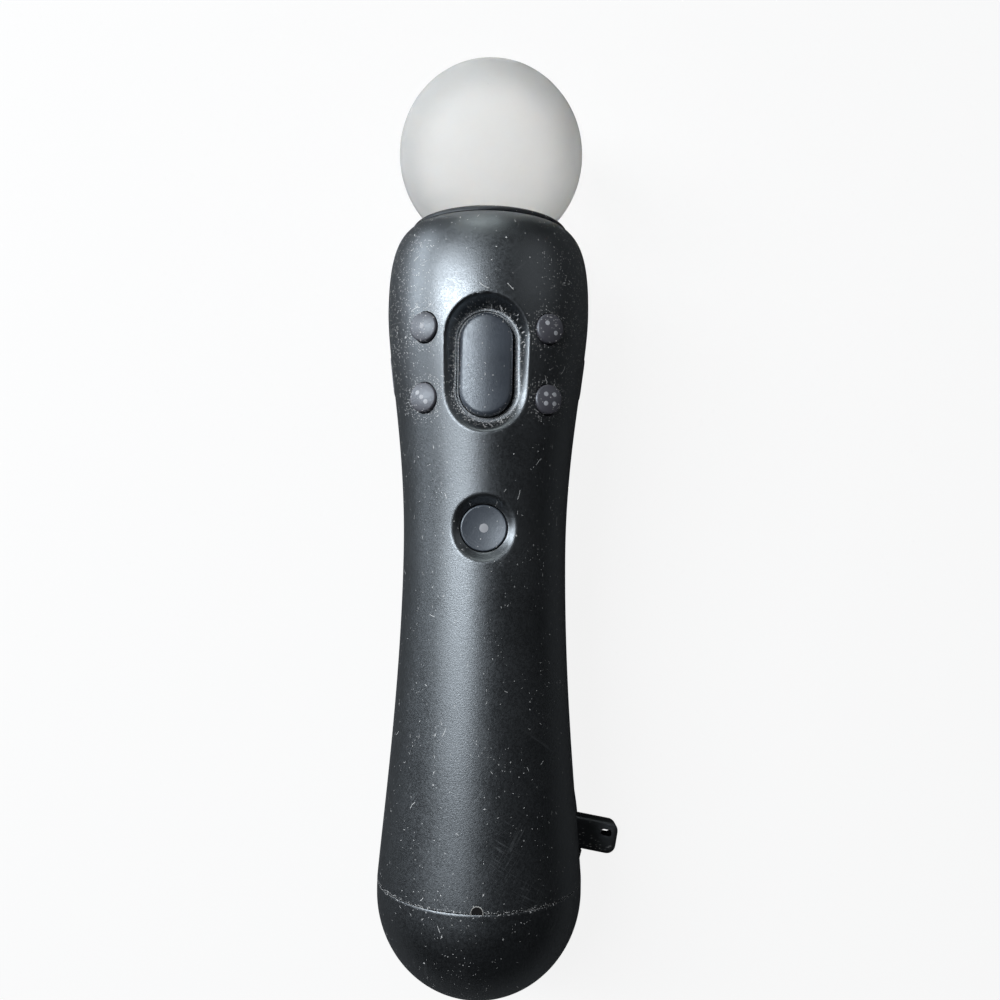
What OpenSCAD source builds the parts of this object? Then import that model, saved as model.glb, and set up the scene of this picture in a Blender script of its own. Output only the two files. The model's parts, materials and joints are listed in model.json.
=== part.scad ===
// Motion controller wand: a hand-held baton with a translucent light sphere, a button face,
// a trigger at the back and a wrist strap at the base.
// Every rigid piece is drawn upright: base end at z = 0, sphere up, button face toward -y, +x to the right.
// at_rest() then lays the wand on its back, on the trigger and the base dome, with the face up.

/* [Body] */
// Widest diameter of the head, beside the main button
head_d = 42.8; // [42:0.1:46]
// How much narrower the hip is than the head
hip_step = 0.4; // [0:0.1:1]
// Diameter of the waist
waist_d = 34.3; // [33.8:0.1:37]
// Outer diameter of the shells' upper rim
rim_d = 34.4; // [33:0.1:36]
// Diameter of the flat at the base end
end_flat_d = 12.9; // [11:0.1:15]
// Straight sleeve of the base cap, between its dome and the seam
cap_sleeve = 2.5; // [2:0.1:4]
// Length from the seam up to the waist
hip_to_waist = 67.3; // [64:0.1:72]
// Length from the waist up to the widest part of the head
waist_to_head = 51; // [49:0.1:56]
// Length from the widest part of the head up to the rim
head_to_rim = 16.4; // [15.4:0.1:18]
// Wall of the shells and the cap
shell_wall = 2; // [1.6:0.1:2.4]
// How far behind the axis the two shells part
part_line_y = 4; // [3:0.5:5]

/* [Light sphere] */
// Diameter of the sphere
sphere_d = 39.4; // [38:0.2:42]
// Wall of the sphere
sphere_wall = 1.6; // [1.2:0.1:2.4]
// Diameter at which the collar ring holds the sphere
sphere_seat_d = 21.8; // [21.4:0.1:24]
// Outer diameter of the sphere's neck
neck_d = 20; // [18:0.5:21]
// Wall of the neck
neck_wall = 1.4; // [1:0.1:2]
// Height of the collar ring above the rim
collar_rise = 1.5; // [1:0.1:2]
// Rounding of the collar ring's edge
collar_round = 1; // [0.4:0.1:1]

/* [Main button] */
// How far the middle of the main button lies below the widest part of the head
main_drop = 14.4; // [13:0.1:16]
// Length of the main button
main_len = 20.3; // [18:0.1:22]
// Width of the main button
main_w = 10.5; // [9:0.1:11.5]
// Width of the recess around the main button, at the surface
recess_w = 16.6; // [15:0.1:18]
// Depth of the recess below the surface
recess_depth = 3.4; // [2.8:0.1:3.8]
// Width of the recess floor around the button
recess_ledge = 1.1; // [0.8:0.1:1.4]
// How far the main button stands above the recess floor
main_rise = 2.2; // [1.6:0.1:2.8]
// Travel of the main button
main_travel = 1.2; // [0.6:0.1:1.4]

/* [Round keys] */
// Diameter of the four face keys
key_d = 5.9; // [5:0.1:6.4]
// Distance of the face keys from the middle of the face
key_x = 12.2; // [11.8:0.1:12.8]
// How far the upper pair of face keys lies above the middle of the main button
key_above = 7.3; // [6.4:0.1:8.4]
// How far the lower pair of face keys lies below it
key_below = 6.3; // [5.8:0.1:7.4]
// How far the face keys lean outward, in degrees
key_lean = 24; // [18:1:28]
// How far a face key's dome stands above the shell
key_rise = 1.3; // [0.9:0.1:1.6]
// Travel of the round keys
key_travel = 0.8; // [0.4:0.1:1]
// How far the home key lies above the waist
home_above = 4.7; // [2:0.1:8]
// Diameter of the home key
home_d = 9.2; // [8:0.1:10]
// Diameter of the dished ring around the home key
dish_d = 13; // [12:0.1:14.5]
// Depth of the dished ring
dish_depth = 1.9; // [1.6:0.1:2.2]

/* [Side keys] */
// How far the side keys lie above the middle of the main button
side_above = 0.4; // [-1:0.1:2]
// Length of a side key
side_len = 9; // [7:0.1:11]
// Width of a side key
side_w = 3.6; // [3:0.1:4.4]
// How far a side key stands above the shell
side_rise = 0.1; // [0.1:0.1:0.4]
// Travel of a side key
side_travel = 0.6; // [0.3:0.1:0.7]

/* [Trigger] */
// Width of the trigger
trigger_w = 13; // [11:0.5:13.5]
// How far the hinge pin lies below the widest part of the head
pin_drop = 2.5; // [1.5:0.1:3.5]
// Depth of the hinge pin below the surface of the head
pin_depth = 7.9; // [7.4:0.1:8.4]
// Diameter of the hinge pin
pin_d = 2.5; // [2:0.1:3]
// How far the middle of the finger hook lies below the pin
hook_drop = 20.5; // [20:0.1:21.5]
// Radius of the finger hook
hook_r = 5.5; // [5:0.1:6]
// How far the finger hook stands out past the head
hook_stand = 6; // [4.6:0.1:6.6]
// Radius of the scoop for the finger, above the hook
scoop_r = 16; // [13:0.5:24]

/* [Inside] */
// Thickness of the circuit boards
board_t = 1.2; // [0.8:0.1:1.6]
// Thickness of the frame's walls
frame_t = 1.6; // [1.2:0.1:2]
// Length of the battery pack
battery_len = 44; // [38:1:46]
// Thickness of the battery pack
battery_t = 10; // [8:0.5:10]
// Diameter of the vibration motor
motor_d = 10; // [8:0.5:10.5]
// Length of the vibration motor
motor_len = 17; // [14:0.5:18]

/* [Strap] */
// Diameter of the strap's band
band_d = 3.2; // [3:0.1:3.4]
// Diameter of the string that ties the strap to the base
string_d = 1; // [0.9:0.1:1]

/* [Clearances] */
// Gap around a key in its hole
key_gap = 0.2; // [0.1:0.05:0.3]
// Gap between fixed pieces that seat in each other
seat_gap = 0.1; // [0.05:0.05:0.2]
// Gap left in front of a moving piece at the end of its travel
stop_gap = 0.4; // [0.3:0.05:0.6]
// Radial gap of a running shaft
run_gap = 0.05; // [0.03:0.01:0.08]

/* [Hidden] */
$fn = 96;

// Overrun of a cut past the face that it opens
cut = 1;

// Heights along the wand, each from the one below it
head_r = head_d / 2;
dome_r = head_r - hip_step / 2;
end_flat_r = end_flat_d / 2;
dome_z = sqrt(dome_r * dome_r - end_flat_r * end_flat_r);
seam_z = dome_z + cap_sleeve;
waist_z = seam_z + hip_to_waist;
head_z = waist_z + waist_to_head;
rim_z = head_z + head_to_rim;
sphere_r = sphere_d / 2;
sphere_z = rim_z + collar_rise + sqrt(sphere_r * sphere_r - pow(sphere_seat_d / 2, 2));
wand_length = sphere_z + sphere_r;

// Places of the keys and the trigger
main_z = head_z - main_drop;
key_upper_z = main_z + key_above;
key_lower_z = main_z - key_below;
home_z = waist_z + home_above;
side_z = main_z + side_above;
pin_z = head_z - pin_drop;
pin_y = head_r - pin_depth;
hook_z = pin_z - hook_drop;
hook_y = head_r + hook_stand - hook_r;

// Outer profile of the shells, as [radius, height], in three tangent sweeps
function bezier(a, b, c, d, t) =
    pow(1 - t, 3) * a + 3 * t * pow(1 - t, 2) * b + 3 * t * t * (1 - t) * c + pow(t, 3) * d;
function sweep(a, b, c, d, steps, first) =
    [for (i = [first:steps]) bezier(a, b, c, d, i / steps)];
hip = [dome_r, seam_z];
waist = [waist_d / 2, waist_z];
head = [head_r, head_z];
rim = [rim_d / 2, rim_z];
hip_pull = [-1, 13.3];
waist_pull = [28, 23];
head_pull = [11, 8.5];
rim_pull = [3.2, -2.2];
sweep_steps = 12;
outer_profile = concat(
    sweep(hip, hip + hip_pull, waist - [0, waist_pull[0]], waist, sweep_steps, 0),
    sweep(waist, waist + [0, waist_pull[1]], head - [0, head_pull[0]], head, sweep_steps, 1),
    sweep(head, head + [0, head_pull[1]], rim + rim_pull, rim, sweep_steps, 1));
radius_table = [for (p = outer_profile) [p[1], p[0]]];
function body_r(z) = lookup(z, radius_table);
function cavity_r(z) = body_r(z) - shell_wall;

// Layers behind the face, as distances in front of the axis
spine_front = -0.5;
spine_back = spine_front - frame_t;
board_back = 6;
board_front = board_back + board_t;
mat_t = 1;
mat_front = board_front + mat_t;

// Main button stack
main_face = body_r(main_z);
recess_floor = main_face - recess_depth;
floor_t = 1.5;
flange_w = 1.2;
flange_t = 1.4;
flange_drop = 0.2;
main_flange_top = recess_floor - floor_t - flange_drop;
main_straight = main_len - main_w;
// The recess flares up to where its flanks meet the round surface, and is straight above
function sink(r, half_w) = r - sqrt(r * r - half_w * half_w);
recess_flare = recess_depth - sink(main_face, recess_w / 2);
recess_floor_w = main_w + 2 * (key_gap + recess_ledge);
groove_w = 0.5;
groove_depth = 0.5;
main_crown_r = 18;

// Round key stacks, as depths below the shell's surface
key_flange_top = shell_wall + flange_drop;
key_flange_t = 0.8;
key_flange_d = key_d + 2 * key_flange_t;
key_well = 6;
key_crown_r = 1.5 * key_d;
home_face = body_r(home_z);
home_rise = 0.6;
dish_floor = home_face - dish_depth;
dish_flare = dish_depth - sink(home_face, dish_d / 2);
home_flange_top = dish_floor - floor_t - flange_drop;

// Side key stack, as depths below the shell's surface, along the slope of the flank
side_face = body_r(side_z);
side_slope = atan((body_r(side_z + side_len / 2) - body_r(side_z - side_len / 2)) / side_len);
side_foot = shell_wall + flange_drop + key_flange_t + sink(side_face, side_w / 2 + key_flange_t);
side_dome_top = side_foot + side_travel + stop_gap;
side_dome_t = 1.8;
side_lug_h = 8;
side_lug_front = 1.5;

// Trigger
pin_r = pin_d / 2;
lug_r = pin_r + 2;
trigger_gap = 0.5;
spring_room = 2.5;
shoulder_y = body_r(pin_z) - 1.1;
shoulder_top = pin_z - 1.5;
shoulder_low = pin_z - 5;
hook_wrap = 30;
lip_w = 6;
lip_t = 3;
lip_y = pin_y + 1.5;
lip_z = hook_z - hook_r - 3.8;
ear_in = trigger_w / 2 + stop_gap;
ear_t = 2;
spring_coils = 4;
spring_wire_d = 0.6;
spring_len = 2 * spring_room - 1.4;
spring_r = pin_r + 0.3 + spring_wire_d / 2;

// Bulkheads of the inner frame
low_z = seam_z + 6;
top_z = rim_z - 9;

// Spine, main board and key mat
spine_w = 24;
board_w = 24;
board_low = low_z + 7;
mat_low = home_z - 6.5;
mat_high = key_upper_z + 8;
standoff_heights = [board_low + 6, waist_z + 2, top_z - 6];
standoff_d = 3.2;
standoff_x = spine_w / 2 - 3;
main_dome_d = [8, 5];
home_dome_d = [7, 4];
side_dome_d = [3.4, 2.2];
key_dome_d = 3;
low_cable_d = 12;
top_cable_d = 6;

// Stack below the sphere
light_board_z = top_z + frame_t;
light_board_r = neck_d / 2 - neck_wall - seat_gap;
package_w = 5;
package_h = 1.2;
package_lens_h = 0.5;
package_lens_d = [4.2, 3.4];
diffuser_t = 1;
collar_r = rim_d / 2 - 0.5;
collar_groove = 0.3;

// Motor and battery
battery_z = low_z + frame_t + seat_gap;
battery_y = -spine_back + seat_gap + battery_t / 2;
weight_gap = 1.2;
weight_z = battery_z + battery_len + weight_gap;
weight_t = 4;
weight_r = motor_d / 2 - 0.6;
motor_z = weight_z + weight_t + 0.8;
motor_wall_gap = 1.45;
motor_y = cavity_r(waist_z) - motor_wall_gap - motor_d / 2;
boss_h = 0.4;
boss_d = 4;
shaft_r = 0.75;
shaft_len = 4;
saddle_t = 3;
saddle_w = motor_d - 2;
saddle_rise = motor_y + spine_back - 1;
battery_w = 19;

// Base end
port_z = 11;
port_r = sqrt(pow(dome_r - shell_wall, 2) - pow(dome_z - port_z, 2)) - 2 * seat_gap;
usb_size = [7.8, 3.9];
usb_y = 0.6;
extension_size = [9, 3.6];
extension_y = 9.6;
port_wall = 0.5;
usb_mouth_z = 0.6;
usb_tongue = [5, 1];
extension_tongue = [6.4, 0.9];
tongue_setback = 1;
socket_back = 1;
port_board_w = 17;
extension_mouth_z = 2.6;
contact_d = 1.6;
contact_x = 2.6;
contact_y = -4.2;
spigot_len = 4;
lens_r = 1.1;
lens_len = shell_wall + seat_gap;
lens_z = seam_z + 0.2;
end_wall = 1.8;
web_t = 2;

// Strap anchor: a pocket in the cap, with a bar across it
anchor_turn = 35;
anchor_z = 17;
anchor_bar_r = 1.5;
anchor_bar_at = dome_r - 3.6;
pocket_w = 5;
pocket_h = 6.4;
pocket_floor = anchor_bar_at - anchor_bar_r - string_d - stop_gap;

// Strap, in the frame of the resting wand: ferrule, lock and the points that string and band follow
ferrule_at = [18.8, -77.9, 2.6];
ferrule_len = 4;
ferrule_high = 5.2;
lock_at = [23.1, -70, 0];
lock_size = [15.8, 7, 5.2];
lock_turn = -10;
lock_round = 2;
slot_size = [2.4, 1.4];
slot_round = 0.6;
slot_inset = [2.6, 2.4];
leg_x = 1.7;
ferrule_taper = 1.6;
string_route = [[17.9, -77.9, 2.6], [17.9, -78.5, 2.6], [17.9, -79.1, 2.6], [18.5, -80.5, 4.2],
    [19, -79.7, 6.6], [18.4, -77.9, 8.2], [17, -77.4, 9.1], [14.4, -77.3, 11], [13.2, -78, 11.8],
    [12.6, -79.5, 12.2], [13.2, -81, 11.8], [14.4, -81.7, 11], [17, -81.7, 9.1], [18.8, -82.1, 7.4],
    [20.1, -82.3, 5.2], [20.2, -81.1, 3.2], [19.7, -79.1, 2.6], [19.7, -78.5, 2.6], [19.7, -77.9, 2.6]];
band_route = [[20.5, -73.9], [20.5, -69.5], [20.5, -65.5], [19, -56.5], [16.4, -44.5], [14.2, -27.5],
    [13.5, -7.5], [13.5, 12.5], [13.5, 32.5], [13.2, 50.5], [11.6, 64.5], [7, 73.5], [0, 76.5], [-7, 73.5],
    [-11.6, 64.5], [-13.2, 50.5], [-13.5, 32.5], [-13.5, 14.5], [-12, -1.5], [-7, -12.5], [0, -19.5],
    [6, -26.5], [9, -35.5], [10.6, -45.5], [13.4, -55.5], [17.1, -65.5], [17.1, -69.5], [17.1, -73.9]];

// Rest pose: the dome of the base and the trigger's hook lie on the same plane
reach_along = hook_z - dome_z;
rest_tilt = asin((hook_r - dome_r) / norm([reach_along, hook_y])) + atan2(hook_y, reach_along);
rest_lift = dome_r - dome_z * sin(rest_tilt);
rest_middle = (sphere_z * cos(rest_tilt) + sphere_r - end_flat_r * sin(rest_tilt)) / 2;
module at_rest() {
    translate([0, -rest_middle, rest_lift]) rotate([rest_tilt - 90, 0, 0]) children();
}

// A frame on the face at height z, a distance d in front of the axis: local z points out of the face
module on_face(d, z) {
    translate([0, -d, z]) rotate([90, 0, 0]) children();
}

// A frame on the surface of a face key: local z points out along the key's own travel
module on_key(side, z) {
    face_y = sqrt(pow(body_r(z), 2) - key_x * key_x);
    translate([side * key_x, -face_y, z]) rotate([0, 0, side * key_lean]) rotate([90, 0, 0]) children();
}

// A frame on a flank: local z points outward, local y up the wand
module on_flank(side) {
    translate([side * side_face, 0, side_z]) rotate([90, 0, side * 90]) rotate([side_slope, 0, 0]) children();
}

// A stadium with its straight length along y
module stadium(straight, w, h) {
    linear_extrude(h) {
        square([w, straight], center = true);
        for (end = [-1, 1]) translate([0, end * straight / 2]) circle(d = w);
    }
}

// A stadium pocket whose wall widens evenly from w_low to w_high
module flared_stadium(straight, w_low, w_high, h) {
    for (end = [-1, 1]) translate([0, end * straight / 2]) cylinder(h, d1 = w_low, d2 = w_high);
    rotate([90, 0, 0]) linear_extrude(straight, center = true)
        polygon([[-w_low / 2, 0], [w_low / 2, 0], [w_high / 2, h], [-w_high / 2, h]]);
}

// A curve through the points of a route, and a tube of triangles along it
function blend_points(a, b, c, d, t) =
    (2 * b + (c - a) * t + (2 * a - 5 * b + 4 * c - d) * t * t + (3 * b - 3 * c + d - a) * pow(t, 3)) / 2;
function smooth_route(points, steps) = let (last = len(points) - 1) concat(
    [for (i = [0:last - 1], k = [0:steps - 1])
        blend_points(points[max(i - 1, 0)], points[i], points[i + 1], points[min(i + 2, last)], k / steps)],
    [points[last]]);
function unit(v) = v / norm(v);
module tube(path, d, sides, up) {
    last = len(path) - 1;
    points = [for (i = [0:last])
        let (along = unit(path[min(i + 1, last)] - path[max(i - 1, 0)]),
             across = unit(cross(up, along)),
             over = cross(along, across))
        for (k = [0:sides - 1]) let (turn = 360 * k / sides)
            path[i] + d / 2 * (cos(turn) * across + sin(turn) * over)];
    walls = [for (i = [0:last - 1], k = [0:sides - 1])
        let (a = i * sides + k, b = i * sides + (k + 1) % sides)
        for (face = [[a, b, a + sides], [b, b + sides, a + sides]]) face];
    ends = [for (k = [1:sides - 2], face = [[0, k + 1, k],
        [last * sides, last * sides + k, last * sides + k + 1]]) face];
    polyhedron(points, concat([for (f = walls) [f[2], f[1], f[0]]], [for (f = ends) [f[2], f[1], f[0]]]));
}

module half_space(front) {
    reach = wand_length;
    shift = front ? part_line_y - reach : part_line_y;
    translate([-reach / 2, shift, 0]) cube([reach, reach, reach]);
}

module body_solid() {
    rotate_extrude() polygon(concat([[0, seam_z]], outer_profile, [[0, rim_z]]));
}

module shell_ring() {
    inner = [for (i = [len(outer_profile) - 1:-1:0]) outer_profile[i] - [shell_wall, 0]];
    rotate_extrude() polygon(concat(outer_profile, inner));
}

// Holes of the four face keys, with the room for their flanges inside the shell
module key_holes() {
    for (side = [-1, 1], z = [key_upper_z, key_lower_z]) on_key(side, z) {
        translate([0, 0, -shell_wall - cut])
            cylinder(shell_wall + key_rise + 2 * cut, d = key_d + 2 * key_gap);
        translate([0, 0, -shell_wall - key_well]) cylinder(key_well, d = key_flange_d + 2 * key_gap);
    }
}

module main_recess() {
    on_face(recess_floor, main_z) {
        flared_stadium(main_straight, recess_floor_w, recess_w, recess_flare);
        translate([0, 0, recess_flare]) stadium(main_straight, recess_w, recess_depth);
        translate([0, 0, -floor_t - cut]) stadium(main_straight, main_w + 2 * key_gap, floor_t + 2 * cut);
        translate([0, 0, -groove_depth])
            stadium(main_straight, main_w + 2 * (key_gap + groove_w), groove_depth + cut);
    }
}

module home_dish() {
    on_face(dish_floor, home_z) {
        cylinder(dish_flare, d1 = home_d + 2 * key_gap, d2 = dish_d);
        translate([0, 0, dish_flare]) cylinder(dish_depth + cut, d = dish_d);
        translate([0, 0, -floor_t - cut]) cylinder(floor_t + 2 * cut, d = home_d + 2 * key_gap);
    }
}

module face_bosses() {
    intersection() {
        body_solid();
        union() {
            on_face(recess_floor - floor_t, main_z)
                stadium(main_straight, recess_w + 2 * floor_t, recess_depth + floor_t + cut);
            on_face(dish_floor - floor_t, home_z)
                cylinder(dish_depth + floor_t + cut, d = dish_d + 2 * floor_t);
        }
    }
}

module side_holes() {
    for (side = [-1, 1]) on_flank(side) translate([0, 0, -shell_wall - cut])
        stadium(side_len - side_w, side_w + 2 * key_gap, shell_wall + 2 * cut);
}

module lens_notch() {
    on_face(dome_r - lens_len, lens_z) cylinder(lens_len + cut, r = lens_r + seat_gap);
}

module front_shell() {
    color("#1b1c1f") at_rest() difference() {
        union() {
            intersection() {
                shell_ring();
                half_space(true);
            }
            face_bosses();
        }
        main_recess();
        home_dish();
        key_holes();
        side_holes();
        lens_notch();
    }
}

module trigger_opening() {
    low = hook_z - hook_r - 4 * trigger_gap;
    high = shoulder_top + trigger_gap;
    w = trigger_w + 2 * trigger_gap;
    translate([-w / 2, pin_y, low]) cube([w, wand_length, high - low]);
}

module rear_shell() {
    color("#191a1d") at_rest() difference() {
        intersection() {
            shell_ring();
            half_space(false);
        }
        trigger_opening();
    }
}

// Dome and short sleeve of the base cap, for a dome of radius r
module cap_solid(r, floor_z) {
    intersection() {
        union() {
            translate([0, 0, dome_z]) sphere(r);
            translate([0, 0, dome_z]) cylinder(seam_z - dome_z, r = r);
        }
        translate([-head_d, -head_d, floor_z]) cube([2 * head_d, 2 * head_d, seam_z - floor_z]);
    }
}

// A frame at the strap anchor: local x points out of the cap
module on_anchor() {
    rotate([0, 0, anchor_turn]) translate([pocket_floor, 0, anchor_z]) children();
}

module port_cuts() {
    for (port = [[usb_size, usb_y], [extension_size, extension_y]])
        translate([0, port[1], dome_z / 4]) cube([port[0][0] + 2 * port_wall + 2 * seat_gap,
            port[0][1] + 2 * port_wall + 2 * seat_gap, dome_z], center = true);
    for (side = [-1, 1]) translate([side * contact_x, contact_y, -cut])
        cylinder(port_z, d = contact_d + 2 * seat_gap);
}

module cap_spigot() {
    spigot_r = cavity_r(seam_z + spigot_len) - seat_gap;
    translate([0, 0, seam_z - web_t]) difference() {
        union() {
            cylinder(web_t, r = dome_r - shell_wall / 2);
            cylinder(web_t + spigot_len, r = spigot_r);
        }
        translate([0, 0, -cut]) cylinder(web_t + spigot_len + 2 * cut, r = spigot_r - frame_t);
    }
}

module base_cap() {
    color("#17181a") at_rest() {
        difference() {
            union() {
                difference() {
                    cap_solid(dome_r, 0);
                    cap_solid(dome_r - shell_wall, end_wall);
                }
                intersection() {
                    cap_solid(dome_r, 0);
                    on_anchor() translate([-floor_t, -pocket_w / 2 - floor_t, -pocket_h / 2 - floor_t])
                        cube([dome_r, pocket_w + 2 * floor_t, pocket_h + 2 * floor_t]);
                }
                cap_spigot();
            }
            on_anchor() translate([0, -pocket_w / 2, -pocket_h / 2]) cube([dome_r, pocket_w, pocket_h]);
            port_cuts();
        }
        on_anchor() translate([anchor_bar_at - pocket_floor, 0, 0]) rotate([90, 0, 0])
            cylinder(pocket_w + floor_t, r = anchor_bar_r, center = true);
    }
}

module collar_ring() {
    seat_r = rim_d / 2 - shell_wall - seat_gap;
    top = rim_z + collar_rise;
    color("#0e0f10") at_rest() difference() {
        rotate_extrude() {
            translate([0, rim_z - shell_wall]) square([seat_r, shell_wall + collar_groove]);
            translate([0, rim_z + collar_groove])
                square([collar_r, collar_rise - collar_groove - collar_round]);
            translate([0, top - collar_round]) square([collar_r - collar_round, collar_round]);
            intersection() {
                translate([collar_r - collar_round, top - collar_round]) circle(collar_round);
                translate([collar_r - collar_round, top - collar_round]) square(collar_round);
            }
        }
        translate([0, 0, sphere_z]) sphere(sphere_r + seat_gap);
        translate([0, 0, rim_z - shell_wall - cut]) cylinder(3 * shell_wall + cut, d = neck_d + 2 * seat_gap);
    }
}

module light_sphere() {
    color("#eceae6", 0.9) at_rest() difference() {
        union() {
            translate([0, 0, sphere_z]) sphere(sphere_r);
            translate([0, 0, light_board_z]) cylinder(sphere_z - light_board_z, d = neck_d);
        }
        translate([0, 0, sphere_z]) sphere(sphere_r - sphere_wall);
        translate([0, 0, light_board_z - cut])
            cylinder(sphere_z - light_board_z, d = neck_d - 2 * neck_wall);
    }
}

module light_board() {
    color("#1f5b37") at_rest() translate([0, 0, light_board_z]) cylinder(board_t, r = light_board_r);
}

module light_package() {
    color("#f4f2e6") at_rest() translate([0, 0, light_board_z + board_t]) {
        translate([-package_w / 2, -package_w / 2, 0]) cube([package_w, package_w, package_h]);
        translate([0, 0, package_h])
            cylinder(package_lens_h, d1 = package_lens_d[0], d2 = package_lens_d[1]);
    }
}

module light_diffuser() {
    diffuser_r = light_board_r - seat_gap;
    color("#f3f3f0", 0.8) at_rest() translate([0, 0, light_board_z + board_t]) rotate_extrude()
        intersection() {
            difference() {
                circle(diffuser_r);
                circle(diffuser_r - diffuser_t);
            }
            square(diffuser_r);
        }
}

module frame_bulkhead(z, hole_d) {
    r = min(cavity_r(z), cavity_r(z + frame_t)) - seat_gap;
    translate([0, 0, z]) difference() {
        cylinder(frame_t, r = r);
        translate([0, -r / 2, -cut]) cylinder(frame_t + 2 * cut, d = hole_d);
    }
}

module frame_spine() {
    translate([-spine_w / 2, -spine_front, low_z]) cube([spine_w, frame_t, top_z - low_z]);
    for (side = [-1, 1], z = standoff_heights) on_face(spine_front, z)
        translate([side * standoff_x, 0, 0]) cylinder(board_back - spine_front, d = standoff_d);
    for (side = [-1, 1]) side_lug(side);
}

// Arm from the spine to the back of a side key's dome
module side_lug(side) {
    intersection() {
        on_flank(side) translate([-side_lug_h / 2, -side_lug_h / 2, -side_face])
            cube([side_lug_h, side_lug_h, side_face - side_dome_top - side_dome_t]);
        translate([side > 0 ? spine_w / 2 - cut : -side_face, -side_lug_front, side_z - side_lug_h])
            cube([side_face - spine_w / 2 + cut, side_lug_front - spine_back, 2 * side_lug_h]);
    }
}

module pin_ears() {
    ear_h = 2 * lug_r;
    for (side = [-1, 1]) translate([side * (ear_in + ear_t / 2), 0, pin_z]) {
        translate([-ear_t / 2, -spine_back - cut / 2, -ear_h / 2])
            cube([ear_t, pin_y + spine_back + cut / 2, ear_h]);
        translate([0, pin_y, 0]) rotate([0, 90, 0]) cylinder(ear_t, d = ear_h, center = true);
    }
}

module motor_saddles() {
    inset = saddle_t / 2;
    for (z = [motor_z + inset, motor_z + motor_len - saddle_t - inset])
        translate([-saddle_w / 2, -spine_back - cut / 2, z]) cube([saddle_w, saddle_rise, saddle_t]);
}

module inner_frame() {
    color("#3a3d40") at_rest() difference() {
        union() {
            frame_bulkhead(low_z, low_cable_d);
            frame_bulkhead(top_z, top_cable_d);
            frame_spine();
            pin_ears();
            motor_saddles();
        }
        translate([0, pin_y, pin_z]) rotate([0, 90, 0])
            cylinder(4 * ear_in, r = pin_r + run_gap, center = true);
        translate([0, motor_y, motor_z - cut]) cylinder(motor_len + 2 * cut, d = motor_d + 2 * run_gap);
    }
}

module main_board() {
    color("#1f5b37") at_rest() translate([-board_w / 2, -board_front, board_low])
        cube([board_w, board_t, top_z - stop_gap - board_low]);
}

// Rubber mat with one dome below each key of the face
module key_mat() {
    main_dome = main_flange_top - flange_t - main_travel - stop_gap;
    home_dome = home_flange_top - key_flange_t - key_travel - stop_gap;
    key_stop = key_flange_top + key_flange_t + key_travel + stop_gap;
    pillar = head_r;
    color("#5c5f62") at_rest() {
        translate([-board_w / 2, -mat_front, mat_low]) cube([board_w, mat_t, mat_high - mat_low]);
        on_face(mat_front, main_z) cylinder(main_dome - mat_front, d1 = main_dome_d[0], d2 = main_dome_d[1]);
        on_face(mat_front, home_z) cylinder(home_dome - mat_front, d1 = home_dome_d[0], d2 = home_dome_d[1]);
        intersection() {
            for (side = [-1, 1], z = [key_upper_z, key_lower_z]) on_key(side, z)
                translate([0, 0, -key_stop - pillar]) cylinder(pillar, d = key_dome_d);
            translate([-board_w / 2, -mat_front - pillar, mat_low])
                cube([board_w, pillar + mat_t / 2, mat_high - mat_low]);
        }
    }
}

module main_button() {
    foot = main_flange_top - flange_t;
    crest = recess_floor + main_rise - foot;
    color("#202124") at_rest() on_face(foot, main_z) {
        stadium(main_straight, main_w + 2 * flange_w, flange_t);
        intersection() {
            stadium(main_straight, main_w, crest);
            translate([0, 0, crest - main_crown_r]) rotate([90, 0, 0])
                cylinder(main_len + 2 * cut, r = main_crown_r, center = true, $fn = 180);
        }
    }
}

// A round key on its flange: the crown is a slice of a sphere
module round_key(d, flange_d, below, rise, crown_r) {
    translate([0, 0, -below]) cylinder(key_flange_t, d = flange_d);
    rotate_extrude() intersection() {
        translate([0, -below]) square([d / 2, below + rise]);
        translate([0, rise - crown_r]) circle(crown_r, $fn = 180);
    }
}

module face_key(side, z) {
    color("#26282b") at_rest() on_key(side, z)
        round_key(key_d, key_flange_d, key_flange_top + key_flange_t, key_rise, key_crown_r);
}

module home_button() {
    below = floor_t + flange_drop + key_flange_t;
    color("#1d1e21") at_rest() on_face(dish_floor, home_z)
        round_key(home_d, home_d + 2 * key_flange_t, below, home_rise, 3 * home_d);
}

module side_key(side) {
    color("#222427") at_rest() on_flank(side) translate([0, 0, -side_foot]) {
        stadium(side_len - side_w, side_w + 2 * key_flange_t, key_flange_t);
        stadium(side_len - side_w, side_w, side_foot + side_rise);
    }
}

module side_dome(side) {
    color("#5c5f62") at_rest() on_flank(side) translate([0, 0, -side_dome_top - side_dome_t])
        cylinder(side_dome_t, d1 = side_dome_d[0], d2 = side_dome_d[1]);
}

// Side view of the trigger, as [y, z]: lug, shoulder along the shell, scoop and finger hook
module trigger_outline() {
    hook_top = [hook_y, hook_z] + hook_r * [cos(hook_wrap), sin(hook_wrap)];
    shoulder = [shoulder_y, shoulder_low];
    chord = hook_top - shoulder;
    scoop_off = sqrt(scoop_r * scoop_r - chord * chord / 4);
    difference() {
        union() {
            translate([pin_y, pin_z]) circle(lug_r);
            translate([hook_y, hook_z]) circle(hook_r);
            polygon([[pin_y - lug_r, pin_z], [hook_y - hook_r, hook_z], [hook_y, hook_z], hook_top, shoulder,
                [shoulder_y, shoulder_top], [pin_y, shoulder_top]]);
        }
        translate((hook_top + shoulder) / 2 + scoop_off * unit([-chord[1], chord[0]]))
            circle(scoop_r, $fn = 180);
    }
}

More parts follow.
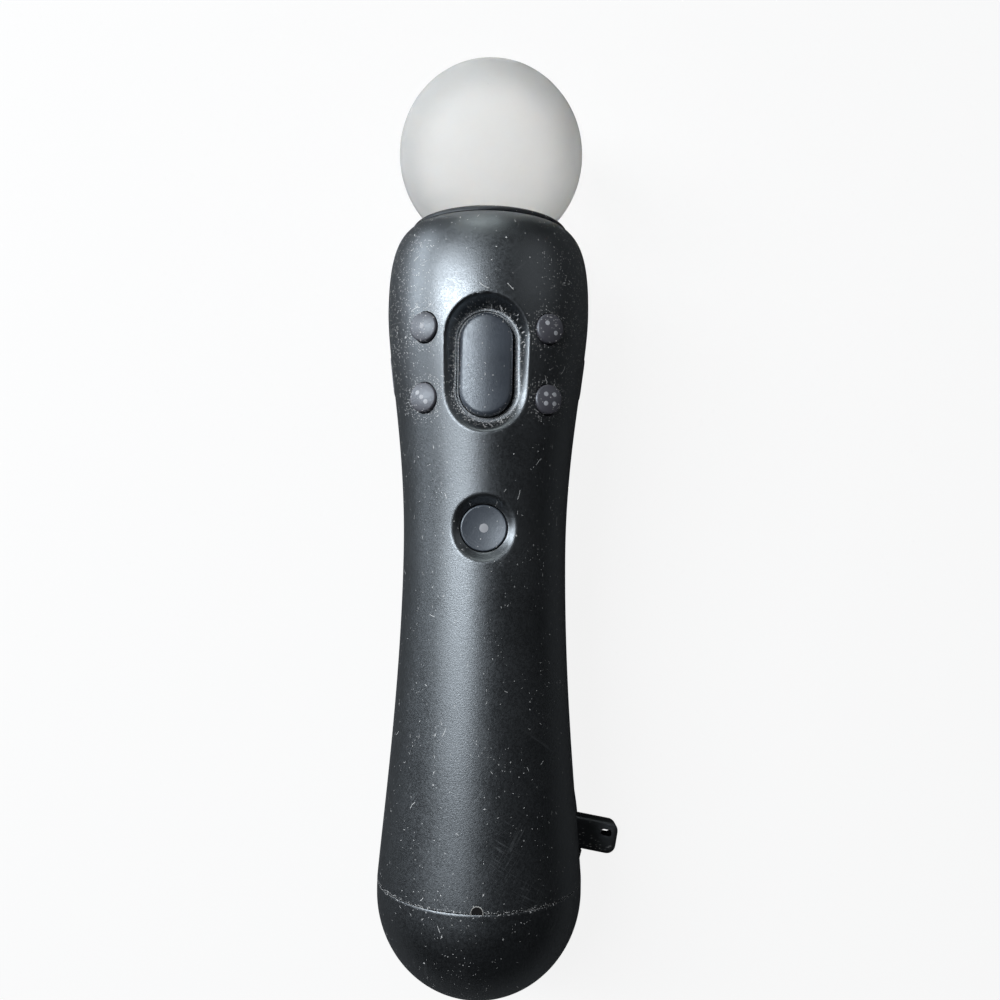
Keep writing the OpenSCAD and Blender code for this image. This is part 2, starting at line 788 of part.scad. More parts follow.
module trigger() {
    color("#1e1f22") at_rest() difference() {
        union() {
            translate([-trigger_w / 2, 0, 0]) rotate([90, 0, 90]) linear_extrude(trigger_w) trigger_outline();
            translate([-lip_w / 2, 0, 0]) rotate([90, 0, 90]) linear_extrude(lip_w)
                polygon([[lip_y, lip_z], [lip_y, hook_z], [hook_y, hook_z],
                    [hook_y - hook_r / 2, hook_z + hook_r], [lip_y - lip_t, hook_z], [lip_y - lip_t, lip_z]]);
        }
        translate([0, pin_y, pin_z]) rotate([0, 90, 0]) {
            cylinder(2 * trigger_w, r = pin_r + run_gap, center = true);
            cylinder(2 * spring_room, r = lug_r + trigger_gap, center = true);
        }
    }
}

module trigger_pin() {
    color("#b9bcc0") at_rest() translate([0, pin_y, pin_z]) rotate([0, 90, 0])
        cylinder(2 * (ear_in + ear_t), r = pin_r, center = true);
}

// Torsion spring on the pin, between the two lugs of the trigger
module trigger_spring() {
    steps = 8;
    coil = [for (i = [0:spring_coils * steps]) let (turn = 360 * i / steps)
        [spring_len * (i / steps / spring_coils - 0.5), spring_r * cos(turn), spring_r * sin(turn)]];
    color("#c3c6c9") at_rest() translate([0, pin_y, pin_z]) tube(coil, spring_wire_d, 6, [1, 0, 0]);
}

module battery_pack() {
    color("#3d6f9e") at_rest() translate([0, battery_y, battery_z]) rotate([0, 0, 90])
        stadium(battery_w - battery_t, battery_t, battery_len);
}

module rumble_motor() {
    color("#b4b7ba") at_rest() translate([0, motor_y, motor_z]) difference() {
        union() {
            cylinder(motor_len, d = motor_d);
            translate([0, 0, -boss_h]) cylinder(boss_h, d = boss_d);
        }
        translate([0, 0, -boss_h - cut]) cylinder(shaft_len + cut, r = shaft_r + run_gap);
    }
}

// Half-round weight on the motor's shaft
module rumble_weight() {
    color("#8d8f92") at_rest() translate([0, motor_y, weight_z]) {
        intersection() {
            cylinder(weight_t, r = weight_r);
            translate([-weight_r, -2 * shaft_r, 0]) cube([2 * weight_r, 2 * weight_r, weight_t]);
        }
        cylinder(motor_z - boss_h - weight_z + shaft_len - stop_gap, r = shaft_r);
    }
}

module port_board() {
    color("#1f5b37") at_rest() translate([0, 0, port_z]) intersection() {
        cylinder(board_t, r = port_r);
        translate([-port_board_w / 2, -port_r, 0]) cube([port_board_w, 2 * port_r, board_t]);
    }
}

// A socket that hangs from the port board: a thin metal box with a tongue in it
module socket(size, y, mouth_z, tongue) {
    outer = [size[0] + 2 * port_wall, size[1] + 2 * port_wall];
    translate([0, y, mouth_z]) difference() {
        translate([-outer[0] / 2, -outer[1] / 2, 0]) cube([outer[0], outer[1], port_z - mouth_z]);
        difference() {
            translate([-size[0] / 2, -size[1] / 2, -cut])
                cube([size[0], size[1], port_z - mouth_z - socket_back + cut]);
            translate([-tongue[0] / 2, -tongue[1] / 2, tongue_setback]) cube([tongue[0], tongue[1], port_z]);
        }
    }
}

module usb_socket() {
    color("#c9cbce") at_rest() socket(usb_size, usb_y, usb_mouth_z, usb_tongue);
}

module extension_socket() {
    color("#2a2b2d") at_rest() socket(extension_size, extension_y, extension_mouth_z, extension_tongue);
}

module charge_contacts() {
    color("#c8a24a") at_rest() for (side = [-1, 1]) translate([side * contact_x, contact_y, 0])
        cylinder(port_z, d = contact_d);
}

module status_lens() {
    color("#c9c5bd") at_rest() intersection() {
        on_face(dome_r - lens_len, lens_z) cylinder(lens_len, r = lens_r);
        body_solid();
    }
}

module strap_string() {
    color("#141415") tube(smooth_route(string_route, 3), string_d, 8, [0.3, 0, 1]);
}

module strap_ferrule() {
    color("#161617") translate(ferrule_at) rotate([-90, 0, 0]) rotate([0, 0, 90])
        flared_stadium(2 * leg_x, ferrule_high - ferrule_taper, ferrule_high, ferrule_len);
}

module rounded_block(size, r) {
    linear_extrude(size[2]) {
        square([size[0] - 2 * r, size[1]], center = true);
        square([size[0], size[1] - 2 * r], center = true);
        for (x = [-1, 1], y = [-1, 1]) translate([x * (size[0] / 2 - r), y * (size[1] / 2 - r)]) circle(r);
    }
}

module strap_lock() {
    channel_d = band_d + 2 * seat_gap;
    channel_len = 2 * lock_size[1];
    color("#1a1b1c") difference() {
        translate(lock_at) rotate([0, 0, lock_turn]) rounded_block(lock_size, lock_round);
        for (side = [-1, 1]) translate([ferrule_at[0] + side * leg_x, lock_at[1], band_d / 2])
            rotate([90, 0, 0]) {
                cylinder(channel_len, d = channel_d, center = true);
                translate([0, -channel_d / 2, 0]) cube([channel_d, channel_d, channel_len], center = true);
            }
        translate(lock_at) rotate([0, 0, lock_turn])
            translate([lock_size[0] / 2 - slot_inset[0], lock_size[1] / 2 - slot_inset[1], -cut])
                rounded_block([slot_size[0], slot_size[1], 2 * lock_size[2]], slot_round);
    }
}

module strap_band() {
    path = [for (p = smooth_route(band_route, 2)) [p[0], p[1], band_d / 2]];
    color("#151516") tube(path, band_d, 8, [0, 0, 1]);
}

front_shell();
rear_shell();
base_cap();
collar_ring();
light_sphere();
light_diffuser();
light_board();
light_package();
inner_frame();
main_board();
key_mat();
main_button();
face_key(-1, key_upper_z);  // key_upper_left
face_key(-1, key_lower_z);  // key_lower_left
face_key(1, key_upper_z);  // key_upper_right
face_key(1, key_lower_z);  // key_lower_right
home_button();
side_key(-1);  // select_button
side_key(1);  // start_button
side_dome(-1);  // select_dome
side_dome(1);  // start_dome
trigger();
trigger_pin();
trigger_spring();
battery_pack();
rumble_motor();
rumble_weight();
port_board();
usb_socket();
extension_socket();
charge_contacts();
status_lens();
strap_string();
strap_ferrule();
strap_lock();
strap_band();
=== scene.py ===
import json
import math

import bmesh
import bpy
from mathutils import Matrix, Vector


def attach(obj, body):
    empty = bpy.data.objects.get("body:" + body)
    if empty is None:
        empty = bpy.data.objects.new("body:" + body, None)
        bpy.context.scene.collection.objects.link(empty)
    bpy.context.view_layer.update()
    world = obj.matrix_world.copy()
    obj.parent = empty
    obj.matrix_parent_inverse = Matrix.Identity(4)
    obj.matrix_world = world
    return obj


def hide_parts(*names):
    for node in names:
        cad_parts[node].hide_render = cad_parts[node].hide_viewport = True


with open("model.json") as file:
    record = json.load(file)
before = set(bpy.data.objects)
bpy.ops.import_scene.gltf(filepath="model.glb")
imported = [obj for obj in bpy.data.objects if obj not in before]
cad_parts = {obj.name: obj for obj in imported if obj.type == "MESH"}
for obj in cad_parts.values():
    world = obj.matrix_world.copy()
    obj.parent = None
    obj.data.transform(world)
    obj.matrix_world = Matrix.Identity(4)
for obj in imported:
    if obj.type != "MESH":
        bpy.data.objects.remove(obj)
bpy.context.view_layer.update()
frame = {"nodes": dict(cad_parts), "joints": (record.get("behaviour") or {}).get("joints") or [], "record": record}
joints = {j["name"]: j for j in frame["joints"]}
mounts = {m["name"]: m for m in frame["record"]["mounts"]}
scene = bpy.context.scene

# Frame of the wand, in millimetres: base end at z = 0, sphere up, button face toward -y
MM = 0.001
DOCK_Y = -5.8
axis = Vector(joints["rumble_spin"]["axis"])
turn = Matrix(((1, 0, 0), (0, axis.z, axis.y), (0, -axis.y, axis.z))).to_4x4()
dock = Vector(mounts["dock_face"]["pos_m"])
WAND = Matrix.Translation(dock - turn @ Vector((0, DOCK_Y * MM, 0))) @ turn @ Matrix.Scale(MM, 4)
# Frame of the bench that the wand lies on, for the strap
BENCH = Matrix.Scale(MM, 4)


def rot(degrees, about):
    return Matrix.Rotation(math.radians(degrees), 4, about)


# Camera in front of the button face: its place in the wand's frame, turns in degrees, focal length in pixels
CAMERA_AT = (3.1, -194, 92)
CAMERA_TILT, CAMERA_ROLL = 2.65, 0.9
FOCAL_PIXELS, IMAGE_PIXELS = 910, 1000
SENSOR, CLIP_START = 36, 0.01


def make_camera():
    data = bpy.data.cameras.new("camera")
    data.sensor_width = SENSOR
    data.lens = SENSOR * FOCAL_PIXELS / IMAGE_PIXELS
    data.clip_start = CLIP_START
    camera = bpy.data.objects.new("camera", data)
    scene.collection.objects.link(camera)
    spot = (WAND @ Matrix.Translation(CAMERA_AT)).translation
    turned = turn @ rot(90 + CAMERA_TILT, "X") @ rot(CAMERA_ROLL, "Z")
    camera.matrix_world = Matrix.Translation(spot) @ turned
    scene.camera = camera


make_camera()


# Mesh helpers
AXIS_R = 0.01  # least radius of a turned profile, so that its middle closes on a small face
POLE = 89.9  # degrees at which an arc stops short of the axis
PAST, HOLE_REACH = 1, 4  # how far a cutter goes past a face, and through it
# Sides of round pieces and of the holes for them
SIDES = {"pip": 24, "pin": 32, "screw": 48, "key_hole": 48, "home_hole": 64, "key": 72, "home": 96,
         "body": 160}


def mesh_piece(name, points, faces, place):
    mesh = bpy.data.meshes.new(name)
    mesh.from_pydata([tuple(p) for p in points], [], faces)
    mesh.transform(place)
    mesh.update()
    piece = bpy.data.objects.new(name, mesh)
    scene.collection.objects.link(piece)
    return piece


def quads(rows, n, around=True, over=False):
    """Faces between rows of n points, where a row may close around and the last row may meet the first."""
    return [[i * n + k, i * n + (k + 1) % n, (i + 1) % rows * n + (k + 1) % n, (i + 1) % rows * n + k]
            for i in range(rows if over else rows - 1) for k in range(n if around else n - 1)]


def tube_faces(rows, n):
    """Faces of a tube of rows of n points, with both ends closed."""
    return quads(rows, n) + [list(range(n))[::-1], [(rows - 1) * n + k for k in range(n)]]


def loft(name, rings, place):
    """A closed skin through rings that have the same number of points."""
    points = [p for ring in rings for p in ring]
    return mesh_piece(name, points, tube_faces(len(rings), len(rings[0])), place)


def circle(r, z, n):
    return [(r * math.cos(math.tau * k / n), r * math.sin(math.tau * k / n), z) for k in range(n)]


def arc(cx, cz, r, start, end, n):
    return [(cx + r * math.cos(math.radians(start + (end - start) * k / n)),
             cz + r * math.sin(math.radians(start + (end - start) * k / n))) for k in range(n + 1)]


def stadium(half_w, straight, z, n=24):
    """A stadium ring whose straight length runs along y."""
    ring = []
    for end in (1, -1):
        for k in range(n + 1):
            a = math.pi * k / n + (0 if end > 0 else math.pi)
            ring.append((half_w * math.cos(a), end * straight / 2 + half_w * math.sin(a), z))
    return ring


def rounded_rect(w, h, r, z, n=8):
    ring = []
    for sx, sy, start in ((1, 1, 0), (-1, 1, 90), (-1, -1, 180), (1, -1, 270)):
        ring += [(x, y, z) for x, y in arc(sx * (w / 2 - r), sy * (h / 2 - r), r, start, start + 90, n)]
    return ring


def revolve(name, profile, place, n):
    """Rings of a profile of (radius, height), closed into a solid."""
    return loft(name, [circle(r, z, n) for r, z in profile], place)


def ring_solid(name, profile, place, n):
    """A closed outline of (radius, height), turned about the axis."""
    points = [p for r, z in profile for p in circle(r, z, n)]
    return mesh_piece(name, points, quads(len(profile), n, over=True), place)


def bake(piece):
    """The modifiers' result becomes the mesh."""
    graph = bpy.context.evaluated_depsgraph_get()
    mesh = bpy.data.meshes.new_from_object(piece.evaluated_get(graph))
    piece.modifiers.clear()
    piece.data = mesh


def cut(piece, cutters):
    for cutter in cutters:
        modifier = piece.modifiers.new("cut", "BOOLEAN")
        modifier.operation = "DIFFERENCE"
        modifier.solver = "EXACT"
        modifier.object = cutter
    bake(piece)
    for cutter in cutters:
        bpy.data.objects.remove(cutter)


def smooth(piece, angle):
    mesh = piece.data
    mesh.polygons.foreach_set("use_smooth", [True] * len(mesh.polygons))
    mesh.set_sharp_from_angle(angle=math.radians(angle))


def face_outward(piece):
    work = bmesh.new()
    work.from_mesh(piece.data)
    bmesh.ops.recalc_face_normals(work, faces=work.faces)
    work.to_mesh(piece.data)
    work.free()


def round_edges(piece, width, angle, segments):
    modifier = piece.modifiers.new("round", "BEVEL")
    modifier.width = width * MM
    modifier.segments = segments
    modifier.limit_method = "ANGLE"
    modifier.angle_limit = math.radians(angle)
    modifier.use_clamp_overlap = True
    bake(piece)


def join(name, pieces):
    """One piece from the meshes of several."""
    work = bmesh.new()
    for piece in pieces:
        work.from_mesh(piece.data)
        bpy.data.objects.remove(piece)
    mesh = bpy.data.meshes.new(name)
    work.to_mesh(mesh)
    work.free()
    joined = bpy.data.objects.new(name, mesh)
    scene.collection.objects.link(joined)
    return joined


# Name of the point layer that holds how thickly dust has settled
DUST_LAYER = "settled"


def settle_dust(piece):
    back = WAND.inverted()
    layer = piece.data.attributes.new(DUST_LAYER, "FLOAT", "POINT")
    layer.data.foreach_set("value", [dustiness(back @ v.co) for v in piece.data.vertices])


def finish_piece(piece, material, nodes, body="body", angle=35):
    """Dress a piece that stands for nodes of the solids, and let it ride on their body."""
    face_outward(piece)
    smooth(piece, angle)
    piece.data.materials.clear()
    piece.data.materials.append(material)
    settle_dust(piece)
    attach(piece, body)
    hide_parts(*nodes)
    finish = material.name.split(".")[0]


# Shape of the wand, as in the solids: radii, and heights that each build on the one below
DOME_R, END_FLAT_R = 21.2, 6.45
DOME_Z = math.sqrt(DOME_R ** 2 - END_FLAT_R ** 2)
SEAM_Z = DOME_Z + 2.5
HIP = (DOME_R, SEAM_Z)
WAIST = (17.15, SEAM_Z + 67.3)
HEAD = (21.4, WAIST[1] + 51)
RIM = (17.2, HEAD[1] + 16.4)
COLLAR_RISE, SPHERE_R, SPHERE_SEAT_R = 1.5, 19.7, 10.9
SPHERE_Z = RIM[1] + COLLAR_RISE + math.sqrt(SPHERE_R ** 2 - SPHERE_SEAT_R ** 2)
WAND_LENGTH = SPHERE_Z + SPHERE_R
WALL, PART_LINE_Y = 2, 4
SEAM_GAP = 0.16

# The body's side as three sweeps, each from one station to the next with two handles between
SWEEPS = ((HIP, (HIP[0] - 1, HIP[1] + 13.3), (WAIST[0], WAIST[1] - 28), WAIST),
          (WAIST, (WAIST[0], WAIST[1] + 23), (HEAD[0], HEAD[1] - 11), HEAD),
          (HEAD, (HEAD[0], HEAD[1] + 8.5), (RIM[0] + 3.2, RIM[1] - 2.2), RIM))
SWEEP_STEPS = 60


def bezier(a, b, c, d, t):
    return tuple((1 - t) ** 3 * p + 3 * t * (1 - t) ** 2 * q + 3 * t * t * (1 - t) * r + t ** 3 * s
                 for p, q, r, s in zip(a, b, c, d))


PROFILE = [HIP] + [bezier(*s, k / SWEEP_STEPS) for s in SWEEPS for k in range(1, SWEEP_STEPS + 1)]


def body_r(z):
    for (r0, z0), (r1, z1) in zip(PROFILE, PROFILE[1:]):
        if z <= z1:
            return r0 + (r1 - r0) * (z - z0) / (z1 - z0)
    return RIM[0]


# Places and sizes of the keys, as in the solids
MAIN_Z, MAIN_LEN, MAIN_W, MAIN_RISE = HEAD[1] - 14.4, 20.3, 10.5, 2.2
MAIN_STRAIGHT = MAIN_LEN - MAIN_W
RECESS_W, RECESS_DEPTH, RECESS_LEDGE = 16.6, 3.4, 1.1
KEY_GAP, GROOVE_W, GROOVE_DEPTH = 0.2, 0.5, 0.5
RECESS_FLOOR = body_r(MAIN_Z) - RECESS_DEPTH
RECESS_FLOOR_HALF = MAIN_W / 2 + KEY_GAP + RECESS_LEDGE
KEY_D, KEY_X, KEY_LEAN, KEY_RISE = 5.9, 12.2, 24, 1.3
KEY_CROWN_R, HOME_HOLLOW_R, HOME_MIDDLE = 8.85, 24, -0.2
KEY_HEIGHTS = {"upper": MAIN_Z + 7.3, "lower": MAIN_Z - 6.3}
HOME_Z, HOME_D, DISH_D, DISH_DEPTH = WAIST[1] + 4.7, 9.2, 13, 1.9
DISH_FLOOR = body_r(HOME_Z) - DISH_DEPTH
SIDE_Z, SIDE_LEN, SIDE_W, SIDE_RISE = MAIN_Z + 0.4, 9, 3.6, 0.1
SIDE_FACE = body_r(SIDE_Z)
SIDE_SLOPE = math.degrees(math.atan(
    (body_r(SIDE_Z + SIDE_LEN / 2) - body_r(SIDE_Z - SIDE_LEN / 2)) / SIDE_LEN))
LENS_R, LENS_Z = 1.1, SEAM_Z + 0.2


def on_face(d, z):
    return Matrix.Translation((0, -d, z)) @ rot(90, "X")


def on_rear(z):
    return Matrix.Translation((0, body_r(z), z)) @ rot(-90, "X")


def on_key(side, z):
    face_y = math.sqrt(body_r(z) ** 2 - KEY_X ** 2)
    return Matrix.Translation((side * KEY_X, -face_y, z)) @ rot(side * KEY_LEAN, "Z") @ rot(90, "X")


def on_flank(side):
    return (Matrix.Translation((side * SIDE_FACE, 0, SIDE_Z))
            @ rot(side * 90, "Z") @ rot(90 + SIDE_SLOPE, "X"))


# How thick dust lies, from 0 to 1, apart from the recess and the seam, where it is full
BASE_DUST, HEAD_DUST, KEY_DUST = 0.4, 0.22, 0.55


def fade(value, full, none):
    """1 up to full, 0 from none on."""
    return min(max((none - value) / (none - full), 0), 1)


def off_main_line(x, z):
    """Distance from the middle line of the main button."""
    return math.hypot(x, max(abs(z - MAIN_Z) - MAIN_STRAIGHT / 2, 0))


def dustiness(p):
    """Dust at a point: base end, seam, the head's sides, the recess and about the keys."""
    settled = [BASE_DUST * fade(p.z, 1, 5), fade(abs(p.z - SEAM_Z), 0.15, 0.5)]
    if p.y < 0:
        settled.append(HEAD_DUST * fade(abs(p.z - HEAD[1]), 9, 26) * fade(-abs(p.x), -14, -9))
        settled.append(fade(abs(off_main_line(p.x, p.z) - RECESS_FLOOR_HALF + 0.4), 0.5, 1.5))
        for z in KEY_HEIGHTS.values():
            off = math.hypot(abs(p.x) - KEY_X, p.z - z) - KEY_D / 2
            settled.append(KEY_DUST * fade(off, 0.4, 2.5) * fade(-off, 0.1, 0.4))
    return max(settled)


CORNER = 0.16  # share of a sunk wall that each of its rounded corners takes
CARVE_REACH = 1.3  # share of a sunk wall beyond which the face is untouched


def ramp(t, k=CORNER):
    """From 0 to 1 over t = 0 to 1, with both corners rounded."""
    if t <= -k:
        return 0
    if t < k:
        return (t + k) ** 2 / (4 * k)
    if t < 1 - k:
        return t
    if t < 1 + k:
        return 1 - (1 + k - t) ** 2 / (4 * k)
    return 1


def carve(x, depth, z):
    """Depth of the front shell's face, with the main recess and the home dish sunk into it."""
    dish_floor_r = HOME_D / 2 + KEY_GAP
    for off, floor_r, top_r, floor in (
            (off_main_line(x, z), RECESS_FLOOR_HALF, RECESS_W / 2, RECESS_FLOOR),
            (math.hypot(x, z - HOME_Z), dish_floor_r, DISH_D / 2, DISH_FLOOR)):
        share = (off - floor_r) / (top_r - floor_r)
        if share < CARVE_REACH:
            depth = floor + (depth - floor) * ramp(share)
    return depth


def stations(stops):
    """Values from a list of (start, step), up to the last start."""
    values = []
    for (start, step), (end, _) in zip(stops, stops[1:]):
        count = max(1, round((end - start) / step))
        values += [start + (end - start) * k / count for k in range(count)]
    return values + [stops[-1][0]]


# Rows and columns of the shells' skins as (start, step): heights, and shares of the girth from the middle.
# They are finer about the home dish (from 86 up), the recess (from 110 up) and across the carved middle.
SEAM_EDGE = (SEAM_Z + SEAM_GAP / 2, 0.2)
CARVED_SHARE = 0.62
FRONT_HEIGHTS = stations([SEAM_EDGE, (24, 1.5), (86, 0.32), (103.4, 1), (110, 0.32), (142, 0.6), (RIM[1], 1)])
FRONT_SHARES = stations([(-1, 0.03), (-CARVED_SHARE, 0.008), (CARVED_SHARE, 0.03), (1, 1)])
REAR_HEIGHTS = stations([SEAM_EDGE, (24, 1.5), (142, 0.6), (RIM[1], 1)])
REAR_SHARES = stations([(-1, 0.02), (1, 1)])
SKIN_WALL = WALL - 0.5


def shell_piece(name, front):
    """Half of the shell, as a skin with a wall's thickness."""
    heights, shares = (FRONT_HEIGHTS, FRONT_SHARES) if front else (REAR_HEIGHTS, REAR_SHARES)
    edge = PART_LINE_Y + (-SEAM_GAP / 4 if front else SEAM_GAP / 4)
    points = []
    for z in heights:
        r = body_r(z)
        front_span = math.pi / 2 + math.asin(edge / r)
        span = front_span if front else math.pi - front_span
        for share in shares:
            a = share * span
            x, depth = r * math.sin(a), r * math.cos(a)
            if front and abs(share) < CARVED_SHARE:
                depth = carve(x, depth, z)
            points.append((x, -depth if front else depth, z))
    faces = quads(len(heights), len(shares), around=False)
    if not front:
        faces = [f[::-1] for f in faces]
    piece = mesh_piece(name, points, faces, WAND)
    wall = piece.modifiers.new("wall", "SOLIDIFY")
    wall.thickness = SKIN_WALL * MM
    wall.offset = -1
    bake(piece)
    return piece


def hole(name, place, ring):
    """A cutter that reaches as far above a face as below it."""
    return loft(name, [ring(-HOLE_REACH), ring(HOLE_REACH)], WAND @ place)


# Materials. Lengths in them are in metres.
AXIS_HEIGHT = (WAND @ Vector((0, 0, WAND_LENGTH / 2))).z
SKIN_R = 0.02  # radius at which the skin is laid flat
JITTER = 0.9  # how far the cells stray from a regular grid


class Tree:
    """The node tree of a material or world, with a short call for each kind of node that is used."""

    def __init__(self, owner):
        owner.use_nodes = True
        self.nodes, self.links = owner.node_tree.nodes, owner.node_tree.links

    def feed(self, socket, value):
        """Link an output to a socket, or set a constant on it."""
        if isinstance(value, bpy.types.NodeSocket):
            self.links.new(value, socket)
        else:
            socket.default_value = (*value, 1) if socket.type == "RGBA" else value

    def fill(self, made, inputs):
        for key, value in inputs.items():
            self.feed(made.inputs[key], value)
        return made

    def node(self, kind, inputs=None, **settings):
        made = self.nodes.new("ShaderNode" + kind)
        for key, value in settings.items():
            setattr(made, key, value)
        return self.fill(made, inputs or {})

    def calc(self, operation, a, b=0):
        return self.node("Math", {0: a, 1: b}, operation=operation).outputs[0]

    def add(self, a, b):
        return self.calc("ADD", a, b)

    def times(self, a, b):
        return self.calc("MULTIPLY", a, b)

    def largest(self, first, *others):
        for value in others:
            first = self.calc("MAXIMUM", first, value)
        return first

    def map_range(self, value, low, high, to_low=0.0, to_high=1.0, soft=False):
        spans = {"Value": value, "From Min": low, "From Max": high, "To Min": to_low, "To Max": to_high}
        shape = "SMOOTHSTEP" if soft else "LINEAR"
        return self.node("MapRange", spans, interpolation_type=shape).outputs["Result"]

    def noise(self, coords, scale, detail=2.0, rough=0.5):
        inputs = {"Vector": coords, "Scale": scale, "Detail": detail, "Roughness": rough}
        return self.node("TexNoise", inputs).outputs["Fac"]

    def mix(self, factor, a, b):
        """From colour a to colour b by the factor."""
        return self.node("Mix", {0: factor, 6: a, 7: b}, data_type="RGBA").outputs[2]

    def mix_shaders(self, factor, a, b):
        return self.node("MixShader", {0: factor, 1: a.outputs[0], 2: b.outputs[0]}).outputs[0]

    def bump(self, height, strength, distance):
        inputs = {"Height": height, "Strength": strength, "Distance": distance}
        return self.node("Bump", inputs).outputs["Normal"]

    def coords(self, kind="Object"):
        return self.node("TexCoord").outputs[kind]

    def split(self, vector):
        return self.node("SeparateXYZ", {0: vector}).outputs

    def skin(self, coords):
        """The wand's skin laid flat: girth from the angle about its axis, and length."""
        x, y, z = self.split(coords)
        angle = self.calc("ARCTAN2", x, self.calc("SUBTRACT", z, AXIS_HEIGHT))
        return self.node("CombineXYZ", {0: self.times(angle, SKIN_R), 1: y}).outputs[0]

    def scattered(self, flat, cell):
        """Cells strewn on the skin: distance in cells and offset from a cell's point, and random values."""
        cells = self.node("TexVoronoi", {"Vector": flat, "Scale": 1 / cell, "Randomness": JITTER},
                          voronoi_dimensions="2D").outputs
        offset = self.node("VectorMath", {0: flat, 1: cells["Position"]}, operation="SUBTRACT")
        chance = self.node("SeparateColor", {"Color": cells["Color"]})
        return cells["Distance"], offset.outputs[0], chance.outputs

    def chosen(self, chance, share):
        """1 in a share of the cells."""
        return self.calc("GREATER_THAN", self.add(chance, share), 1)

    def seen(self):
        """1 for what is looked at, straight or through the sphere, and 0 for the light that is thrown."""
        path = self.node("LightPath").outputs
        return self.calc("MAXIMUM", path["Is Camera Ray"], path["Is Transmission Ray"])


def new_material(name):
    material = bpy.data.materials.new(name)
    tree = Tree(material)
    return material, tree, tree.nodes["Principled BSDF"]


def tinted(color, factor):
    return tuple(c * factor for c in color)


# Dust: cell and size of the specks, cell, length and width of the fibres
SPECKS, SPHERE_SPECKS = ((0.0016, 0.00018), (0.0007, 0.00012), (0.00036, 0.00012)), (0.003, 0.00012)
FIBRES = ((0.0042, 0.0021, 0.00012), (0.0016, 0.0009, 0.00008))
# Least values as shares of the full ones, a fibre's bow, and the core and edge of its width
LEAST_SPECK, FAINTEST_SPECK, LEAST_FIBRE, FIBRE_BOW, FIBRE_CORE, FIBRE_EDGE = 0.35, 0.35, 0.2, 0.5, 0.3, 0.6
# How much settled dust adds to specks and fibres, the share of coarse and fine specks, and how dust covers
SETTLED_SPECKS, SETTLED_FIBRES, SPECK_SHARE, DUST_COVER, DUST_ROUGH = 0.9, 0.25, 0.8, 0.95, 0.4
DUST_COLOR = (0.76, 0.75, 0.73)
# Rubs: angle in degrees and spacing; core and edge of a line, edge of a patch, and what a rub changes
RUBS = ((63, 0.0011), (-38, 0.0014))
RUB_ASPECT, RUB_CORE, RUB_EDGE, PATCH_EDGE, RUB_PALE, RUB_ROUGH = 0.035, 0.004, 0.012, 0.1, 0.035, 0.10
RUB_COLOR = (0.5, 0.5, 0.5)
# Grain of the mould, and the cells whose roughness differs a little
GRAIN, GRAIN_DEPTH, GRAIN_STRENGTH, SPARKLE_CELL = 0.00025, 0.00005, 0.5, 0.00033
GLOSS_TINT, POLISHED_TINT = (0.87, 0.94, 1.0), 1.35
# How many to the metre: polish from the hand, drifts of dust, patches of rubs, marks on rubber, blotches
POLISH, DRIFTS, PATCHES, MARKS, BLOTCHES = 45, 75, 60, 70, 120
# Spans of a noise over which it goes from one state to the other
DRIFT_SPAN, TINT_SPAN, WORN_SPAN, MARK_SPAN = (0.40, 0.68), (0.35, 0.65), (0.3, 0.7), (0.35, 0.7)
RUBBER_CLEAN, RUBBER_WORN, RUBBER_SPECK = (0.95, 0.94, 0.92), (0.92, 0.905, 0.88), (0.3, 0.29, 0.27)
RUBBER_GRAIN, RUBBER_DEPTH, RUBBER_BLEED = 5200, 0.00002, (1.0, 0.93, 0.85)


def dust_specks(tree, flat, cell, size, share):
    """Specks of dust up to a radius of size, in a share of the cells."""
    distance, _, chance = tree.scattered(flat, cell)
    radius = tree.map_range(chance[1], 0, 1, LEAST_SPECK * size / cell, size / cell)
    near = tree.calc("LESS_THAN", distance, radius)
    strength = tree.map_range(chance[2], 0, 1, FAINTEST_SPECK, 1)
    return tree.times(tree.times(near, tree.chosen(chance[0], share)), strength)


def lint(tree, flat, cell, length, width, share):
    """Short curved fibres lying at any angle, in a share of the cells."""
    _, offset, chance = tree.scattered(flat, cell)
    spin = tree.node("VectorRotate", {"Vector": offset, "Angle": tree.times(chance[1], math.tau)},
                     rotation_type="Z_AXIS")
    along, across, _ = tree.split(spin.outputs[0])
    curve = tree.map_range(chance[2], 0, 1, -FIBRE_BOW / length, FIBRE_BOW / length)
    bow = tree.times(tree.times(along, along), curve)
    off_line = tree.calc("ABSOLUTE", tree.calc("SUBTRACT", across, bow))
    thin = tree.map_range(off_line, FIBRE_CORE * width, FIBRE_EDGE * width, 1, 0)
    reach = tree.map_range(chance[2], 0, 1, LEAST_FIBRE * length, length / 2)
    inside = tree.calc("LESS_THAN", tree.calc("ABSOLUTE", along), reach)
    return tree.times(tree.times(thin, inside), tree.chosen(chance[0], share))


def scratches(tree, flat, turn_degrees, spacing, share):
    """Fine straight rubs at one angle, in patches."""
    lay = tree.node("Mapping", {"Vector": flat, "Rotation": (0, 0, math.radians(turn_degrees)),
                                "Scale": (spacing, spacing / RUB_ASPECT, 1)}, vector_type="TEXTURE")
    lines = tree.noise(lay.outputs[0], 1, 1)
    near = tree.calc("ABSOLUTE", tree.calc("SUBTRACT", lines, 0.5))
    thin = tree.map_range(near, RUB_CORE, RUB_EDGE, 1, 0)
    patch = tree.map_range(tree.noise(flat, PATCHES, 1), 1 - share, 1 - share + PATCH_EDGE)
    return tree.times(thin, patch)


